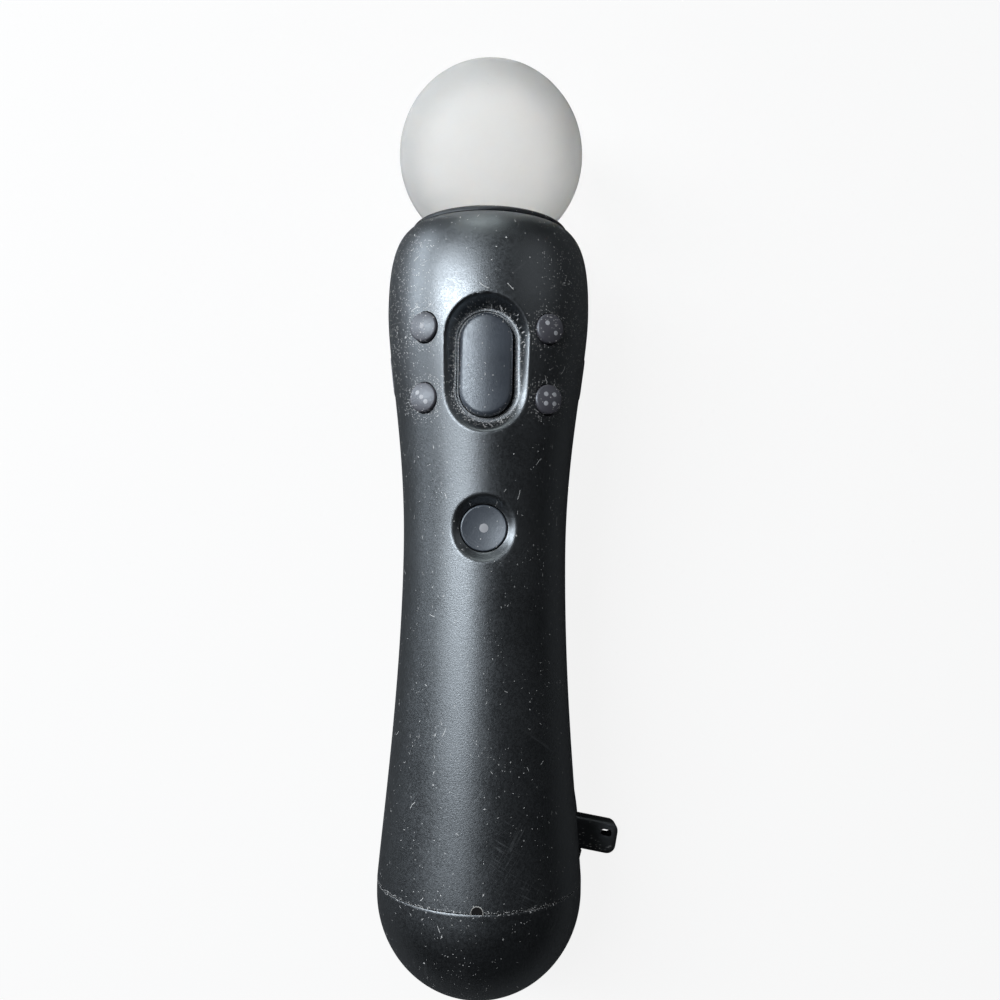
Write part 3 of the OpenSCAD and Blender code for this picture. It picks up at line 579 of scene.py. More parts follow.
def dirt_on(tree, flat, dust, lint_share):
    """Specks and fibres: drifted thinly all over, and thick where dust has settled."""
    settled = tree.node("Attribute", attribute_name=DUST_LAYER).outputs["Fac"]
    drift = tree.map_range(tree.noise(flat, DRIFTS), *DRIFT_SPAN)
    share = tree.add(tree.times(drift, dust), tree.times(settled, SETTLED_SPECKS))
    amounts = (tree.times(share, SPECK_SHARE), share, tree.times(settled, SPECK_SHARE))
    fibre_share = tree.add(tree.times(settled, SETTLED_FIBRES), lint_share)
    layers = [dust_specks(tree, flat, *size, amount) for size, amount in zip(SPECKS, amounts)]
    layers += [lint(tree, flat, *size, fibre_share) for size in FIBRES]
    return tree.times(tree.largest(*layers), DUST_COVER)


def plastic(name, color, rough, gloss=2.0, sparkle=0.05, dust=0.17, lint_share=0.04, rubs=0.45):
    """Moulded plastic: spark-eroded grain, hand polish, fine rubs and settled dust."""
    material, tree, shader = new_material(name)
    coords = tree.coords()
    flat = tree.skin(coords)
    dirt = dirt_on(tree, flat, dust, lint_share)
    rubbed = tree.largest(*(scratches(tree, flat, *rub, rubs) for rub in RUBS))
    polish = tree.noise(coords, POLISH, 3, 0.6)
    base = tree.mix(tree.map_range(polish, *TINT_SPAN, soft=True), color, tinted(color, POLISHED_TINT))
    base = tree.mix(tree.times(rubbed, RUB_PALE), base, RUB_COLOR)
    worn = tree.map_range(polish, *WORN_SPAN, rough - 0.04, rough + 0.05)
    worn = tree.add(worn, tree.times(rubbed, RUB_ROUGH))
    _, _, chance = tree.scattered(flat, SPARKLE_CELL)
    worn = tree.add(worn, tree.map_range(chance[0], 0, 1, -sparkle, sparkle))
    grains = tree.noise(coords, 1 / GRAIN, 3)
    tree.fill(shader, {"Base Color": tree.mix(dirt, base, DUST_COLOR),
                       "Roughness": tree.add(worn, tree.times(dirt, DUST_ROUGH)),
                       "Specular IOR Level": 1.0, "IOR": gloss, "Specular Tint": GLOSS_TINT,
                       "Normal": tree.bump(grains, GRAIN_STRENGTH, GRAIN_DEPTH)})
    return material


def translucent_rubber(name):
    """Soft white skin of the light sphere: light bleeds right through it, with faint handling marks."""
    material, tree, shader = new_material(name)
    coords = tree.coords()
    marks = tree.noise(coords, MARKS, 4, 0.6)
    base = tree.mix(tree.map_range(marks, *MARK_SPAN, soft=True), RUBBER_CLEAN, RUBBER_WORN)
    specks = dust_specks(tree, tree.skin(coords), *SPHERE_SPECKS, share=0.06)
    tree.fill(shader, {"Base Color": tree.mix(tree.times(specks, 0.3), base, RUBBER_SPECK),
                       "Roughness": tree.map_range(marks, *WORN_SPAN, 0.82, 0.95),
                       "Transmission Weight": 0.70, "IOR": 1.36, "Specular IOR Level": 0.3,
                       "Subsurface Weight": 1.0, "Subsurface Radius": RUBBER_BLEED, "Subsurface Scale": 0.03,
                       "Normal": tree.bump(tree.noise(coords, RUBBER_GRAIN), 0.12, RUBBER_DEPTH)})
    return material


def plain(name, color, rough, metal=0.0, grain=900, depth=0.00002):
    """A colour with a little variation and a fine surface."""
    material, tree, shader = new_material(name)
    coords = tree.coords()
    blotch = tree.map_range(tree.noise(coords, BLOTCHES, 3), *TINT_SPAN, soft=True)
    fine = tree.noise(coords, grain)
    tree.fill(shader, {"Base Color": tree.mix(blotch, color, tinted(color, 0.82)),
                       "Roughness": tree.map_range(fine, *WORN_SPAN, rough - 0.06, rough + 0.06),
                       "Metallic": metal, "Normal": tree.bump(fine, 0.2, depth)})
    return material


def metal_of(name, color, rough):
    return plain(name, color, rough, metal=1.0, grain=4000, depth=0.000005)


def braid(name, color, turns, pitch):
    """Braided cord: two crossing sets of strands, from the tube's own girth and length, with painted shade that
    darkens the grooves between them.
    """
    material, tree, shader = new_material(name)
    around, along, _ = tree.split(tree.coords("UV"))
    girth, run = tree.times(around, math.tau * turns), tree.times(along, math.tau / pitch)
    left, right = (tree.calc("SINE", tree.calc(way, girth, run)) for way in ("ADD", "SUBTRACT"))
    height = tree.map_range(tree.largest(left, right), -0.6, 1, soft=True)
    # painted shade: the base colour drops to 0.4 of the cord's colour in the low grooves between strands
    tree.fill(shader, {"Base Color": tree.mix(height, tinted(color, 0.4), color),
                       "Roughness": 0.85, "Sheen Weight": 0.25,
                       "Normal": tree.bump(height, 0.6, 0.00012)})
    return material


SHELL = plastic("shell_black", (0.0034, 0.0036, 0.0042), 0.39)
KEY = plastic("key_black", (0.056, 0.053, 0.064), 0.48, 1.7, 0.04, dust=0.06, lint_share=0.02)
MAIN = plastic("main_black", (0.042, 0.050, 0.064), 0.42, 1.65, dust=0.12)
COLLAR = plastic("collar_black", (0.0034, 0.0034, 0.0038), 0.42, 1.5, 0.04)
PRINT = plain("print_grey", (0.52, 0.53, 0.56), 0.5)
STRAP = plastic("strap_black", (0.0060, 0.0060, 0.0065), 0.40, dust=0.15, lint_share=0.03)
SPHERE = translucent_rubber("sphere_white")
CORD = braid("strap_cord", (0.016, 0.016, 0.017), 6, 0.0011)


# Cords: the string round the anchor bar and the band of the strap, as routed in the solids
STRING_D, STRING_SIDES, STRING_STEPS = 1.0, 12, 6
BAND_D, BAND_SIDES, BAND_STEPS = 3.2, 20, 5
STRING_ROUTE = [(17.9, -77.9, 2.6), (17.9, -78.5, 2.6), (17.9, -79.1, 2.6), (18.5, -80.5, 4.2),
                (19, -79.7, 6.6), (18.4, -77.9, 8.2), (17, -77.4, 9.1), (14.4, -77.3, 11), (13.2, -78, 11.8),
                (12.6, -79.5, 12.2), (13.2, -81, 11.8), (14.4, -81.7, 11), (17, -81.7, 9.1),
                (18.8, -82.1, 7.4), (20.1, -82.3, 5.2), (20.2, -81.1, 3.2), (19.7, -79.1, 2.6),
                (19.7, -78.5, 2.6), (19.7, -77.9, 2.6)]
BAND_ROUTE = [(20.5, -73.9), (20.5, -69.5), (20.5, -65.5), (19, -56.5), (16.4, -44.5), (14.2, -27.5),
              (13.5, -7.5), (13.5, 12.5), (13.5, 32.5), (13.2, 50.5), (11.6, 64.5), (7, 73.5), (0, 76.5),
              (-7, 73.5), (-11.6, 64.5), (-13.2, 50.5), (-13.5, 32.5), (-13.5, 14.5), (-12, -1.5),
              (-7, -12.5), (0, -19.5), (6, -26.5), (9, -35.5), (10.6, -45.5), (13.4, -55.5), (17.1, -65.5),
              (17.1, -69.5), (17.1, -73.9)]


def smooth_route(route, steps):
    """Points of a curve through the route, with so many steps in each of its spans."""
    points = [Vector(p) for p in (route[0], *route, route[-1])]
    path = []
    for a, b, c, d in zip(points, points[1:], points[2:], points[3:]):
        for k in range(steps):
            t = k / steps
            path.append((2 * b + (c - a) * t + (2 * a - 5 * b + 4 * c - d) * t * t
                         + (3 * b - 3 * c + d - a) * t ** 3) / 2)
    return path + [points[-1]]


def cord_tube(name, path, diameter, sides):
    """A tube along the path, with its girth and its run in metres as UV."""
    last = len(path) - 1
    side = Vector((1, 0, 0))
    points, runs, run = [], [], 0.0
    for i, p in enumerate(path):
        before, after = path[max(i - 1, 0)], path[min(i + 1, last)]
        along = (after - before).normalized()
        side = (side - along * side.dot(along)).normalized()
        over = along.cross(side)
        run += (p - before).length * MM
        runs.append(run)
        points += [p + x * side + y * over for x, y, _ in circle(diameter / 2, 0, sides)]
    piece = mesh_piece(name, points, tube_faces(len(path), sides), BENCH)
    layer = piece.data.uv_layers.new(name="run")
    for face in piece.data.polygons:
        columns = [v % sides for v in face.vertices]
        wraps = len(columns) == 4 and max(columns) - min(columns) == sides - 1
        for loop in face.loop_indices:
            row, k = divmod(piece.data.loops[loop].vertex_index, sides)
            layer.data[loop].uv = ((1 if wraps and k == 0 else k / sides), runs[row])
    return piece, run


def make_cord(name, cad, path, diameter, sides, fitting):
    """A braided tube along the path, in place of a cord of the solids."""
    piece, length = cord_tube(name, path, diameter, sides)
    finish_piece(piece, CORD, [cad], angle=60)


# Strap lock and ferrule
FERRULE_AT, FERRULE_LEN, FERRULE_HIGH, FERRULE_TAPER, LEG_X = (18.8, -77.9, 2.6), 4, 5.2, 1.6, 1.7
FERRULE_TIP, FERRULE_ROUND, FERRULE_CORNER = 0.4, 0.5, 0.15
LOCK_AT, LOCK_SIZE, LOCK_TURN, LOCK_ROUND, LOCK_EDGE = (23.1, -70, 0), (15.8, 7, 5.2), -10, 2, 0.7
SLOT_SIZE, SLOT_ROUND, SLOT_INSET = (2.4, 1.4), 0.6, (2.6, 2.4)
CHANNEL_GAP = 0.1


def make_ferrule():
    place = BENCH @ Matrix.Translation(FERRULE_AT) @ rot(-90, "X") @ rot(90, "Z")
    big = FERRULE_HIGH / 2
    small = big - FERRULE_TAPER / 2
    sections = ((small - FERRULE_TIP, 0), (small, FERRULE_TIP), (big, FERRULE_LEN - FERRULE_ROUND),
                (big - FERRULE_CORNER, FERRULE_LEN - FERRULE_CORNER), (big - FERRULE_ROUND, FERRULE_LEN))
    piece = loft("strap_ferrule_moulded", [stadium(half, 2 * LEG_X, z) for half, z in sections], place)
    finish_piece(piece, STRAP, ["strap_ferrule"])
    return piece


def make_lock():
    """A block with rounded edges, two channels for the legs of the band and a slot in one corner."""
    place = BENCH @ Matrix.Translation(LOCK_AT) @ rot(LOCK_TURN, "Z")
    w, h, t = LOCK_SIZE
    rings = []
    for x, z in arc(0, LOCK_EDGE, LOCK_EDGE, -90, 0, 5) + arc(0, t - LOCK_EDGE, LOCK_EDGE, 0, 90, 5):
        inset = LOCK_EDGE - x
        rings.append(rounded_rect(w - 2 * inset, h - 2 * inset, LOCK_ROUND - inset, z))
    piece = loft("strap_lock_moulded", rings, place)
    channel = [circle(BAND_D / 2 + CHANNEL_GAP, z, SIDES["pin"]) for z in (-h, h)]
    legs = [Matrix.Translation((FERRULE_AT[0] + side * LEG_X, LOCK_AT[1], BAND_D / 2)) for side in (-1, 1)]
    slot = [rounded_rect(*SLOT_SIZE, SLOT_ROUND, z) for z in (-PAST, t + PAST)]
    corner = Matrix.Translation((w / 2 - SLOT_INSET[0], h / 2 - SLOT_INSET[1], 0))
    cut(piece, [loft("channel", channel, BENCH @ leg @ rot(90, "X")) for leg in legs]
        + [loft("slot", slot, place @ corner)])
    finish_piece(piece, STRAP, ["strap_lock"])
    return piece


make_cord("strap_string_braid", "strap_string", smooth_route(STRING_ROUTE, STRING_STEPS), STRING_D,
          STRING_SIDES, make_ferrule())
band_path = smooth_route([(x, y, BAND_D / 2) for x, y in BAND_ROUTE], BAND_STEPS)
make_cord("strap_band_braid", "strap_band", band_path, BAND_D, BAND_SIDES, make_lock())


# Shells
SIDE_STRAIGHT = SIDE_LEN - SIDE_W
LENS_HOLE_DEPTH, LENS_GAP = 3, 0.1


def make_front_shell():
    piece = shell_piece("front_shell_moulded", True)
    half = MAIN_W / 2 + KEY_GAP
    wide = half + GROOVE_W
    main_hole = ((half, -HOLE_REACH), (half, -GROOVE_DEPTH), (wide, -GROOVE_DEPTH), (wide, PAST))
    cutters = [loft("main_hole", [stadium(w, MAIN_STRAIGHT, z) for w, z in main_hole],
                    WAND @ on_face(RECESS_FLOOR, MAIN_Z)),
               hole("home_hole", on_face(DISH_FLOOR, HOME_Z),
                    lambda z: circle(HOME_D / 2 + KEY_GAP, z, SIDES["home_hole"])),
               hole("lens_hole", on_face(DOME_R - LENS_HOLE_DEPTH, LENS_Z),
                    lambda z: circle(LENS_R + LENS_GAP, z, SIDES["pin"]))]
    for side in (-1, 1):
        cutters += [hole("key_hole", on_key(side, z),
                         lambda h: circle(KEY_D / 2 + KEY_GAP, h, SIDES["key_hole"]))
                    for z in KEY_HEIGHTS.values()]
        cutters.append(hole("side_hole", on_flank(side),
                            lambda h: stadium(SIDE_W / 2 + KEY_GAP, SIDE_STRAIGHT, h)))
    cut(piece, cutters)
    finish_piece(piece, SHELL, ["front_shell"])


# Trigger as far as its opening needs it: width, gap, pin, hook and shoulder
TRIGGER_W, TRIGGER_GAP = 13, 0.5
PIN_Y, PIN_Z = HEAD[0] - 7.9, HEAD[1] - 2.5
HOOK_R, HOOK_Z = 5.5, PIN_Z - 20.5
HOOK_Y = HEAD[0] + 6 - HOOK_R
SHOULDER_Y, SHOULDER_TOP, SHOULDER_LOW = body_r(PIN_Z) - 1.1, PIN_Z - 1.5, PIN_Z - 5
OPENING_ROUND, OPENING_REACH = 1.2, 20

SCREW_HEIGHTS, WELL_R, WELL_DEPTH, WELL_WALL, WELL_RIM, WELL_LAP = (34, 84), 2.3, 2.4, 0.8, 0.5, 0.05
SCREW_R, SCREW_RISE, SCREW_ROUND, SCREW_SUNK = 1.8, 0.8, 0.35, 0.1
CROSS_LEN, CROSS_W, CROSS_DEPTH, CROSS_ROUND, CROSS_TURN, CROSS_STEP = 2.0, 0.5, 0.5, 0.1, 25, 40


def make_rear_shell():
    piece = shell_piece("rear_shell_moulded", False)
    low, high = HOOK_Z - HOOK_R - 4 * TRIGGER_GAP, SHOULDER_TOP + TRIGGER_GAP
    size = TRIGGER_W + 2 * TRIGGER_GAP, high - low
    place = WAND @ Matrix.Translation((0, PIN_Y, (low + high) / 2)) @ rot(-90, "X")
    cutters = [loft("opening", [rounded_rect(*size, OPENING_ROUND, z) for z in (0, OPENING_REACH)], place)]
    cutters += [hole("screw_hole", on_rear(z), lambda h: circle(WELL_R - WELL_LAP, h, SIDES["screw"]))
                for z in SCREW_HEIGHTS]
    cut(piece, cutters)
    finish_piece(piece, SHELL, ["rear_shell"])


def make_screws():
    """Cross-head screws in two wells of the rear shell."""
    steel = metal_of("screw_steel", (0.12, 0.12, 0.125), 0.38)
    outer, floor = WELL_R + WELL_WALL, -WELL_DEPTH
    well = [(AXIS_R, floor), (WELL_R, floor), (WELL_R, -WELL_RIM), (outer, -WELL_RIM),
            (outer, floor - WELL_WALL), (AXIS_R, floor - WELL_WALL)]
    top = floor + SCREW_RISE
    head = [(AXIS_R, floor - SCREW_SUNK), (SCREW_R, floor - SCREW_SUNK)]
    head += arc(SCREW_R - SCREW_ROUND, top - SCREW_ROUND, SCREW_ROUND, 0, 90, 6) + [(AXIS_R, top)]
    cross = [rounded_rect(CROSS_LEN, CROSS_W, CROSS_ROUND, h) for h in (top - CROSS_DEPTH, top + PAST)]
    for k, z in enumerate(SCREW_HEIGHTS):
        place = WAND @ on_rear(z)
        finish_piece(revolve(f"screw_well_{k}", well, place, SIDES["screw"]), SHELL, ["rear_shell"])
        piece = revolve(f"screw_head_{k}", head, place, SIDES["screw"])
        turned = CROSS_TURN + CROSS_STEP * k
        cut(piece, [loft("cross", cross, place @ rot(angle, "Z")) for angle in (turned, turned + 90)])
        finish_piece(piece, steel, ["rear_shell"])


# Base cap, with its ports, contacts and the pocket of the strap's anchor bar
FLAT_ROUND, FLAT_TURN, CAP_ROUND, CAP_CORNER, SPIGOT_INSET, SPIGOT_RISE = 0.3, 0.8, 0.3, 0.09, 1.6, 2
ANCHOR_TURN, ANCHOR_Z, ANCHOR_BAR_R, ANCHOR_BAR_AT, ANCHOR_SEAT = 35, 17, 1.5, DOME_R - 3.6, 0.5
POCKET_W, POCKET_H, POCKET_ROUND, POCKET_REACH = 5, 6.4, 0.8, 12
POCKET_FLOOR = ANCHOR_BAR_AT - ANCHOR_BAR_R - STRING_D - 0.4
PORTS = {"usb": ((7.8, 3.9), 0.6), "extension": ((9, 3.6), 9.6)}
PORT_WALL, PORT_ROUND, PORT_DEPTH, SEAT_GAP = 0.5, 0.5, 11, 0.1
CONTACT_X, CONTACT_Y, CONTACT_D, CONTACT_DEPTH = 2.6, -4.2, 1.6, 5
END_PAST = 2


def make_base_cap():
    top = SEAM_Z - SEAM_GAP / 2
    spigot_r, spigot_top = DOME_R - SPIGOT_INSET, top + SPIGOT_RISE
    start = FLAT_TURN - math.degrees(math.asin(DOME_Z / DOME_R))
    profile = [(AXIS_R, 0), (END_FLAT_R - FLAT_ROUND, 0)] + arc(0, DOME_Z, DOME_R, start, 0, 60)
    profile += [(DOME_R, top - drop) for drop in (1, 0.6, CAP_ROUND)]
    profile += [(DOME_R - CAP_CORNER, top - CAP_CORNER), (DOME_R - CAP_ROUND, top), (spigot_r, top),
                (spigot_r, spigot_top), (AXIS_R, spigot_top)]
    piece = revolve("base_cap_moulded", profile, WAND, SIDES["body"])
    edge = 2 * (PORT_WALL + SEAT_GAP)
    cutters = []
    for (w, h), y in PORTS.values():
        port = [rounded_rect(w + edge, h + edge, PORT_ROUND, z) for z in (-END_PAST, PORT_DEPTH)]
        cutters.append(loft("port", port, WAND @ Matrix.Translation((0, y, 0))))
    contact = [circle(CONTACT_D / 2 + SEAT_GAP, z, SIDES["pin"]) for z in (-END_PAST, CONTACT_DEPTH)]
    cutters += [loft("contact", contact, WAND @ Matrix.Translation((side * CONTACT_X, CONTACT_Y, 0)))
                for side in (-1, 1)]
    anchor = WAND @ rot(ANCHOR_TURN, "Z")
    pocket = [rounded_rect(POCKET_H, POCKET_W, POCKET_ROUND, z) for z in (0, POCKET_REACH)]
    cutters.append(loft("pocket", pocket,
                        anchor @ Matrix.Translation((POCKET_FLOOR, 0, ANCHOR_Z)) @ rot(90, "Y")))
    cut(piece, cutters)
    finish_piece(piece, SHELL, ["base_cap"])
    half = POCKET_W / 2 + ANCHOR_SEAT
    bar = loft("anchor_bar", [circle(ANCHOR_BAR_R, z, SIDES["pin"]) for z in (-half, half)],
               anchor @ Matrix.Translation((ANCHOR_BAR_AT, 0, ANCHOR_Z)) @ rot(90, "X"))
    finish_piece(bar, SHELL, ["base_cap"])


# Collar and sphere
COLLAR_R, COLLAR_ROUND, COLLAR_GROOVE, COLLAR_EDGE = RIM[0] - 0.5, 1, 0.3, 0.1
NECK_R, NECK_GAP, NECK_DEPTH = 10, 0.2, 6
BORE_GAP, LIP_W, LIP_DROP = 0.1, 0.2, 0.15


def make_collar():
    top, low, step = RIM[1] + COLLAR_RISE, RIM[1] - WALL, RIM[1] + COLLAR_GROOVE
    seat_r, neck_r, bore_r = RIM[0] - WALL - SEAT_GAP, NECK_R + NECK_GAP, SPHERE_R + BORE_GAP
    lip, lip_r = top - LIP_DROP, math.sqrt(bore_r ** 2 - (SPHERE_Z - top) ** 2)
    profile = [(neck_r, low), (seat_r, low), (seat_r, step), (COLLAR_R - COLLAR_EDGE, step),
               (COLLAR_R, step + COLLAR_EDGE)]
    profile += arc(COLLAR_R - COLLAR_ROUND, top - COLLAR_ROUND, COLLAR_ROUND, 0, 90, 8)
    profile += [(lip_r + LIP_W, top), (lip_r, lip)]
    start, end = math.degrees(math.atan2(lip - SPHERE_Z, lip_r)), -math.degrees(math.acos(neck_r / bore_r))
    profile += arc(0, SPHERE_Z, bore_r, start, end, 16)
    piece = ring_solid("collar_ring_moulded", profile, WAND, SIDES["body"])
    finish_piece(piece, COLLAR, ["collar_ring"])


def make_sphere():
    foot, low = RIM[1] - NECK_DEPTH, -math.degrees(math.acos(NECK_R / SPHERE_R))
    profile = [(AXIS_R, foot), (NECK_R, foot)] + arc(0, SPHERE_Z, SPHERE_R, low, POLE, 120)
    piece = revolve("light_sphere_skin", profile, WAND, SIDES["body"])
    finish_piece(piece, SPHERE, ["light_sphere"], angle=60)


make_front_shell()
make_rear_shell()
make_screws()
make_base_cap()
make_collar()
make_sphere()


# Keys: how far each goes below its face, and the rounding of its edge
KEY_BELOW, KEY_EDGE = 2.4, 0.5
HOME_BELOW, HOME_EDGE = 1.7, 0.3
SIDE_BELOW, SIDE_EDGE, SIDE_CROWN = 2.5, 0.35, 0.05
MAIN_BELOW, MAIN_EDGE, MAIN_FALL, MAIN_CROWN_R = 3, 0.9, 0.4, 18
# Printed marks: plain pips, from one to four on the face keys and one on the home key
PIP_R, PIP_STEP, PRINT_T, PRINT_SUNK, PRINT_EDGE = 0.46, 0.92, 0.02, 0.1, 0.06
PIPS = {"key_upper_left": [(0, 0)],
        "key_upper_right": [(-1, 1), (1, -1)],
        "key_lower_left": [(-1, 1), (0, 0), (1, -1)],
        "key_lower_right": [(-1, 1), (1, 1), (-1, -1), (1, -1)]}


def make_pips(cad, place, rise, crown_r, spots, pip_r):
    """Flat round marks that lie on the crown of a key."""
    middle = WAND @ place @ Matrix.Translation((0, 0, rise - crown_r))
    sections = ((pip_r, -PRINT_SUNK), (pip_r, PRINT_T / 2), (pip_r - PRINT_EDGE, PRINT_T))
    rings = [circle(r, z, SIDES["pip"]) for r, z in sections]
    pips = []
    for spot in spots:
        x, y = (PIP_STEP * value for value in spot)
        up = Vector((x, y, math.sqrt(crown_r ** 2 - x * x - y * y)))
        lean = up.to_track_quat("Z", "Y").to_matrix().to_4x4()
        pips.append(loft("pip", rings, middle @ lean @ Matrix.Translation((0, 0, crown_r))))
    finish_piece(join(cad + "_pips", pips), PRINT, [cad], cad)


def make_round_key(cad, place):
    """A domed key: straight flank, rounded shoulder, crown that is a slice of a sphere."""
    crown_z, reach = KEY_RISE - KEY_CROWN_R, KEY_CROWN_R - KEY_EDGE
    flank_r = KEY_D / 2
    edge_r = flank_r - KEY_EDGE
    shoulder = math.degrees(math.acos(edge_r / reach))
    edge_z = crown_z + reach * math.sin(math.radians(shoulder))
    profile = [(AXIS_R, -KEY_BELOW), (flank_r, -KEY_BELOW)] + arc(edge_r, edge_z, KEY_EDGE, 0, shoulder, 8)
    profile += arc(0, crown_z, KEY_CROWN_R, shoulder, POLE, 20)[1:]
    piece = revolve(cad + "_moulded", profile, WAND @ place, SIDES["key"])
    finish_piece(piece, KEY, [cad], cad)


def make_home_button(place):
    """A round key with a rolled edge and a shallow hollow."""
    hollow_z, reach = HOME_MIDDLE + HOME_HOLLOW_R, HOME_HOLLOW_R + HOME_EDGE
    flank_r = HOME_D / 2
    edge_r = flank_r - HOME_EDGE
    lip = math.degrees(math.acos(edge_r / reach))
    edge_z = hollow_z - reach * math.sin(math.radians(lip))
    profile = [(AXIS_R, -HOME_BELOW), (flank_r, -HOME_BELOW)]
    profile += arc(edge_r, edge_z, HOME_EDGE, 0, 180 - lip, 10)
    profile += arc(0, hollow_z, HOME_HOLLOW_R, -lip, -POLE, 24)[1:]
    piece = revolve("home_button_moulded", profile, WAND @ place, SIDES["home"])
    finish_piece(piece, MAIN, ["home_button"], "home_button", angle=50)


def make_side_key(cad, side):
    """A long key in the flank, nearly level with the shell."""
    half, low = SIDE_W / 2, SIDE_RISE - SIDE_EDGE
    sections = [(half, -SIDE_BELOW), (half, low)]
    sections += [(half - SIDE_EDGE + x, z) for x, z in arc(0, low, SIDE_EDGE, 0, 90, 5)]
    sections += [(half * (1 - t), SIDE_RISE + SIDE_CROWN * t) for t in (0.5, 0.98)]
    rings = [stadium(w, SIDE_STRAIGHT, z) for w, z in sections]
    piece = loft(cad + "_moulded", rings, WAND @ on_flank(side))
    finish_piece(piece, KEY, [cad], cad)


def make_keys():
    for side, hand in ((-1, "left"), (1, "right")):
        for level, z in KEY_HEIGHTS.items():
            cad = f"key_{level}_{hand}"
            make_pips(cad, on_key(side, z), KEY_RISE, KEY_CROWN_R, PIPS[cad], PIP_R)
            make_round_key(cad, on_key(side, z))
    home = on_face(DISH_FLOOR, HOME_Z)
    make_home_button(home)
    make_pips("home_button", home, HOME_MIDDLE, HOME_HOLLOW_R, [(0, 0)], 2 * PIP_R)
    make_side_key("select_button", -1)
    make_side_key("start_button", 1)


def make_main_button():
    """A long key with a rolled edge and a crown that falls away to both sides."""
    half = MAIN_W / 2

    def crown(half_w, drop):
        return [(x, y, MAIN_RISE - drop - (MAIN_CROWN_R - math.sqrt(MAIN_CROWN_R ** 2 - x * x)))
                for x, y, _ in stadium(half_w, MAIN_STRAIGHT, 0)]

    rings = [stadium(half, MAIN_STRAIGHT, z) for z in (-MAIN_BELOW, MAIN_RISE - MAIN_EDGE - MAIN_FALL)]
    rings += [crown(half - MAIN_EDGE + x, MAIN_EDGE - z) for x, z in arc(0, 0, MAIN_EDGE, 0, 90, 7)]
    rings += [crown((half - MAIN_EDGE) * t, 0) for t in (0.8, 0.6, 0.4, 0.2, 0.02)]
    piece = loft("main_button_moulded", rings, WAND @ on_face(RECESS_FLOOR, MAIN_Z))
    finish_piece(piece, MAIN, ["main_button"], "main_button", angle=50)


# Trigger: the hook's wrap in degrees, the hollow for the finger, the lug about the pin and the edges
HOOK_WRAP, SCOOP_R, LUG_R = 30, 16, 3.25
TRIGGER_ROUND, TRIGGER_EDGE_ANGLE, TRIGGER_EDGE_STEPS = 1.1, 50, 4
ACROSS = Matrix(((0, 0, 1, 0), (1, 0, 0, 0), (0, 1, 0, 0), (0, 0, 0, 1)))  # (y, z, x) to (x, y, z)


def make_trigger():
    """A side outline of shoulder, hollow and hook, as wide as the trigger."""
    wrap = math.radians(HOOK_WRAP)
    hook_top = Vector((HOOK_Y + HOOK_R * math.cos(wrap), HOOK_Z + HOOK_R * math.sin(wrap)))
    shoulder = Vector((SHOULDER_Y, SHOULDER_LOW))
    chord = hook_top - shoulder
    sideways = Vector((-chord.y, chord.x)).normalized()
    centre = (hook_top + shoulder) / 2 + sideways * math.sqrt(SCOOP_R ** 2 - chord.length_squared / 4)
    start, end = (math.degrees(math.atan2(p.y - centre.y, p.x - centre.x)) for p in (shoulder, hook_top))
    end += 360 if end < start - 180 else -360 if end > start + 180 else 0
    outline = [(PIN_Y, SHOULDER_TOP), (SHOULDER_Y, SHOULDER_TOP)]
    outline += arc(centre.x, centre.y, SCOOP_R, start, end, 16)
    outline += arc(HOOK_Y, HOOK_Z, HOOK_R, HOOK_WRAP, -180, 28)[1:]
    outline += [(PIN_Y - LUG_R, PIN_Z)]
    sides = [[(y, z, x) for y, z in outline] for x in (-TRIGGER_W / 2, TRIGGER_W / 2)]
    piece = loft("trigger_moulded", sides, WAND @ ACROSS)
    face_outward(piece)
    round_edges(piece, TRIGGER_ROUND, TRIGGER_EDGE_ANGLE, TRIGGER_EDGE_STEPS)
    finish_piece(piece, KEY, ["trigger"], "trigger")


# Status lens, and the dust packed in the gap about it
LENS_BELOW, LENS_SUNK = 2, 0.1
PACKED_W, PACKED_DEPTH, PACKED_RISE = 0.13, 0.2, 0.02


def make_lens():
    place = WAND @ on_face(DOME_R - LENS_SUNK, LENS_Z)
    piece = loft("status_lens_moulded", [circle(LENS_R, z, SIDES["pin"]) for z in (-LENS_BELOW, 0)], place)
    finish_piece(piece, plain("lens_smoked", (0.022, 0.021, 0.021), 0.2), ["status_lens"])
    outer = LENS_R + PACKED_W
    fill = [(LENS_R, -PACKED_DEPTH), (outer, -PACKED_DEPTH), (outer, 0), (LENS_R, PACKED_RISE)]
    dust = ring_solid("status_lens_dust", fill, place, SIDES["pin"])
    finish_piece(dust, plain("packed_dust", (0.62, 0.61, 0.58), 0.9, grain=6000), ["status_lens"])


make_keys()
make_main_button()
make_trigger()
make_lens()


# Inner pieces keep their solids; each finish goes to the nodes named after it
INNER = ((plain("diffuser_white", (0.8, 0.8, 0.78), 0.5), "light_diffuser"),
         (plain("package_white", (0.75, 0.74, 0.66), 0.4), "light_package"),
         (plain("frame_grey", (0.045, 0.048, 0.052), 0.55), "inner_frame"),
         (plain("mat_rubber", (0.11, 0.115, 0.12), 0.8), "key_mat", "select_dome", "start_dome"),
         (plain("battery_blue", (0.05, 0.16, 0.34), 0.35), "battery_pack"),
         (plain("socket_black", (0.02, 0.021, 0.023), 0.5), "extension_socket"),
         (metal_of("contact_gold", (0.70, 0.46, 0.12), 0.3), "charge_contacts"),
         (plain("board_green", (0.014, 0.105, 0.04), 0.35), "light_board", "main_board", "port_board"),
         (metal_of("steel", (0.55, 0.56, 0.58), 0.32),
          "trigger_pin", "trigger_spring", "rumble_motor", "rumble_weight", "usb_socket"))
for finish, *names in INNER:
    for name in names:
        mesh = frame["nodes"][name].data
        mesh.materials.clear()
        mesh.materials.append(finish)


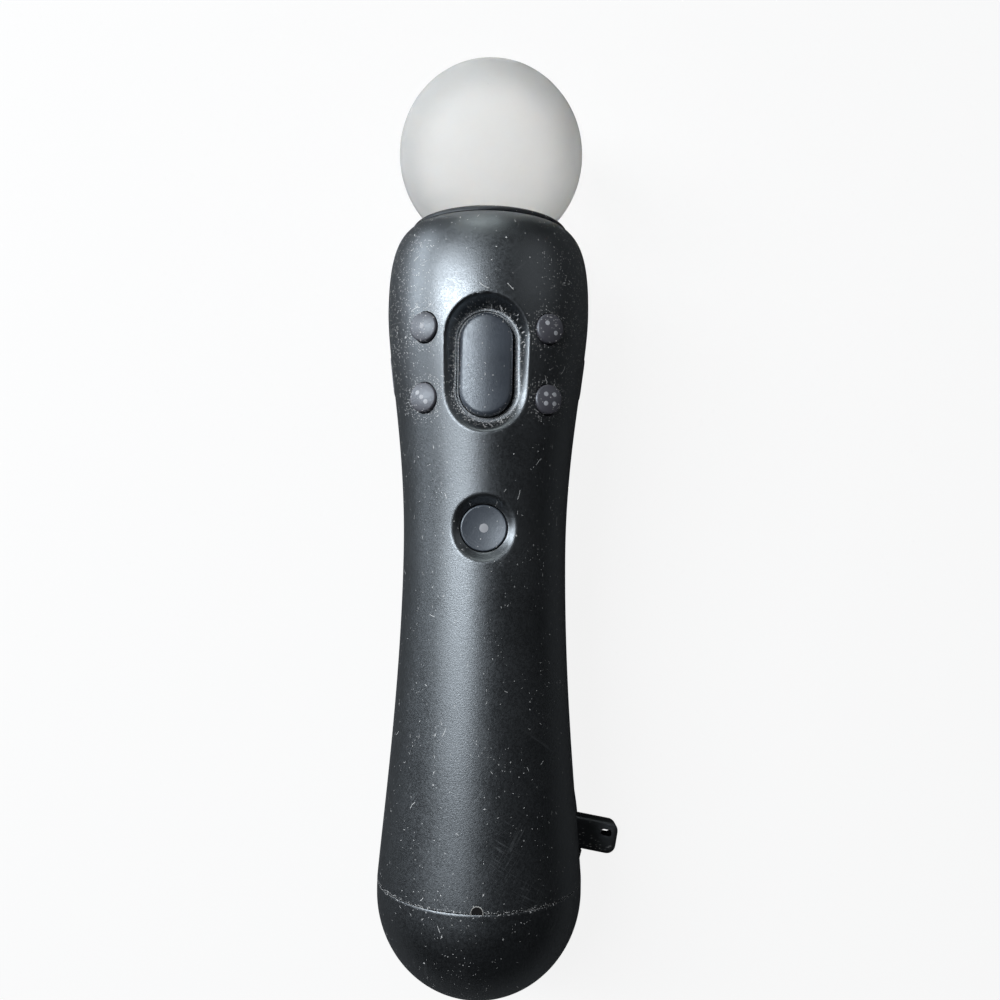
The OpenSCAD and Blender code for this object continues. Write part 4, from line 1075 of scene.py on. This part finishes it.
# Floor, world and lamps. Floor and world show white, and throw little light on the wand.
FLOOR_HALF, FLOOR_ROUGH, FLOOR_GLOW = 3.0, 0.9, 0.88
FLOOR_THROWN, FLOOR_SEEN = (0.10, 0.10, 0.10), (0.88, 0.88, 0.88)
WORLD_COLOR, WORLD_STRENGTH = (0.55, 0.56, 0.58), 0.02
# Each lamp's name, place, aim, size, power and colour
LAMPS = (("window", (-0.36, 0.12, 0.53), (0, 0.03, 0.03), (0.22, 0.50), 3.8, (0.92, 0.96, 1.0)),
         ("side_window", (-0.66, 0.30, 0.10), (0, 0.04, 0.03), (0.52, 0.22), 1.6, (0.88, 0.94, 1.0)),
         ("far_window", (-0.08, 0.62, 0.30), (0, 0.06, 0.03), (0.35, 0.30), 0.62, (0.94, 1.0, 0.97)),
         ("right_fill", (0.42, 0.24, 0.34), (0, 0.05, 0.03), (0.30, 0.40), 0.12, (0.96, 0.98, 1.0)))


def make_floor():
    corners = [(x * FLOOR_HALF, y * FLOOR_HALF, 0) for x, y in ((-1, -1), (1, -1), (1, 1), (-1, 1))]
    floor = mesh_piece("floor", corners, [[0, 1, 2, 3]], Matrix.Identity(4))
    material, tree, shader = new_material("floor_white")
    in_view = tree.node("LightPath").outputs["Is Camera Ray"]
    tree.fill(shader, {"Base Color": tree.mix(in_view, FLOOR_THROWN, FLOOR_SEEN), "Roughness": FLOOR_ROUGH})
    surface = tree.mix_shaders(tree.times(tree.seen(), FLOOR_GLOW), shader, tree.node("Emission"))
    tree.feed(tree.nodes["Material Output"].inputs["Surface"], surface)
    floor.data.materials.append(material)


def make_world():
    world = bpy.data.worlds.new("studio")
    tree = Tree(world)
    ground = tree.fill(tree.nodes["Background"], {"Color": WORLD_COLOR, "Strength": WORLD_STRENGTH})
    white = tree.node("Background", {"Color": (1, 1, 1), "Strength": 1.0})
    surface = tree.mix_shaders(tree.seen(), ground, white)
    tree.feed(tree.nodes["World Output"].inputs["Surface"], surface)
    scene.world = world


def make_lamp(name, spot, target, size, power, color):
    data = bpy.data.lights.new(name, "AREA")
    data.shape = "RECTANGLE"
    data.size, data.size_y = size
    data.energy = power
    data.color = color
    lamp = bpy.data.objects.new(name, data)
    scene.collection.objects.link(lamp)
    aim = Vector(target) - Vector(spot)
    lamp.matrix_world = Matrix.Translation(spot) @ aim.to_track_quat("-Z", "Y").to_matrix().to_4x4()


make_floor()
make_world()
for lamp in LAMPS:
    make_lamp(*lamp)
scene.view_settings.view_transform = "Standard"
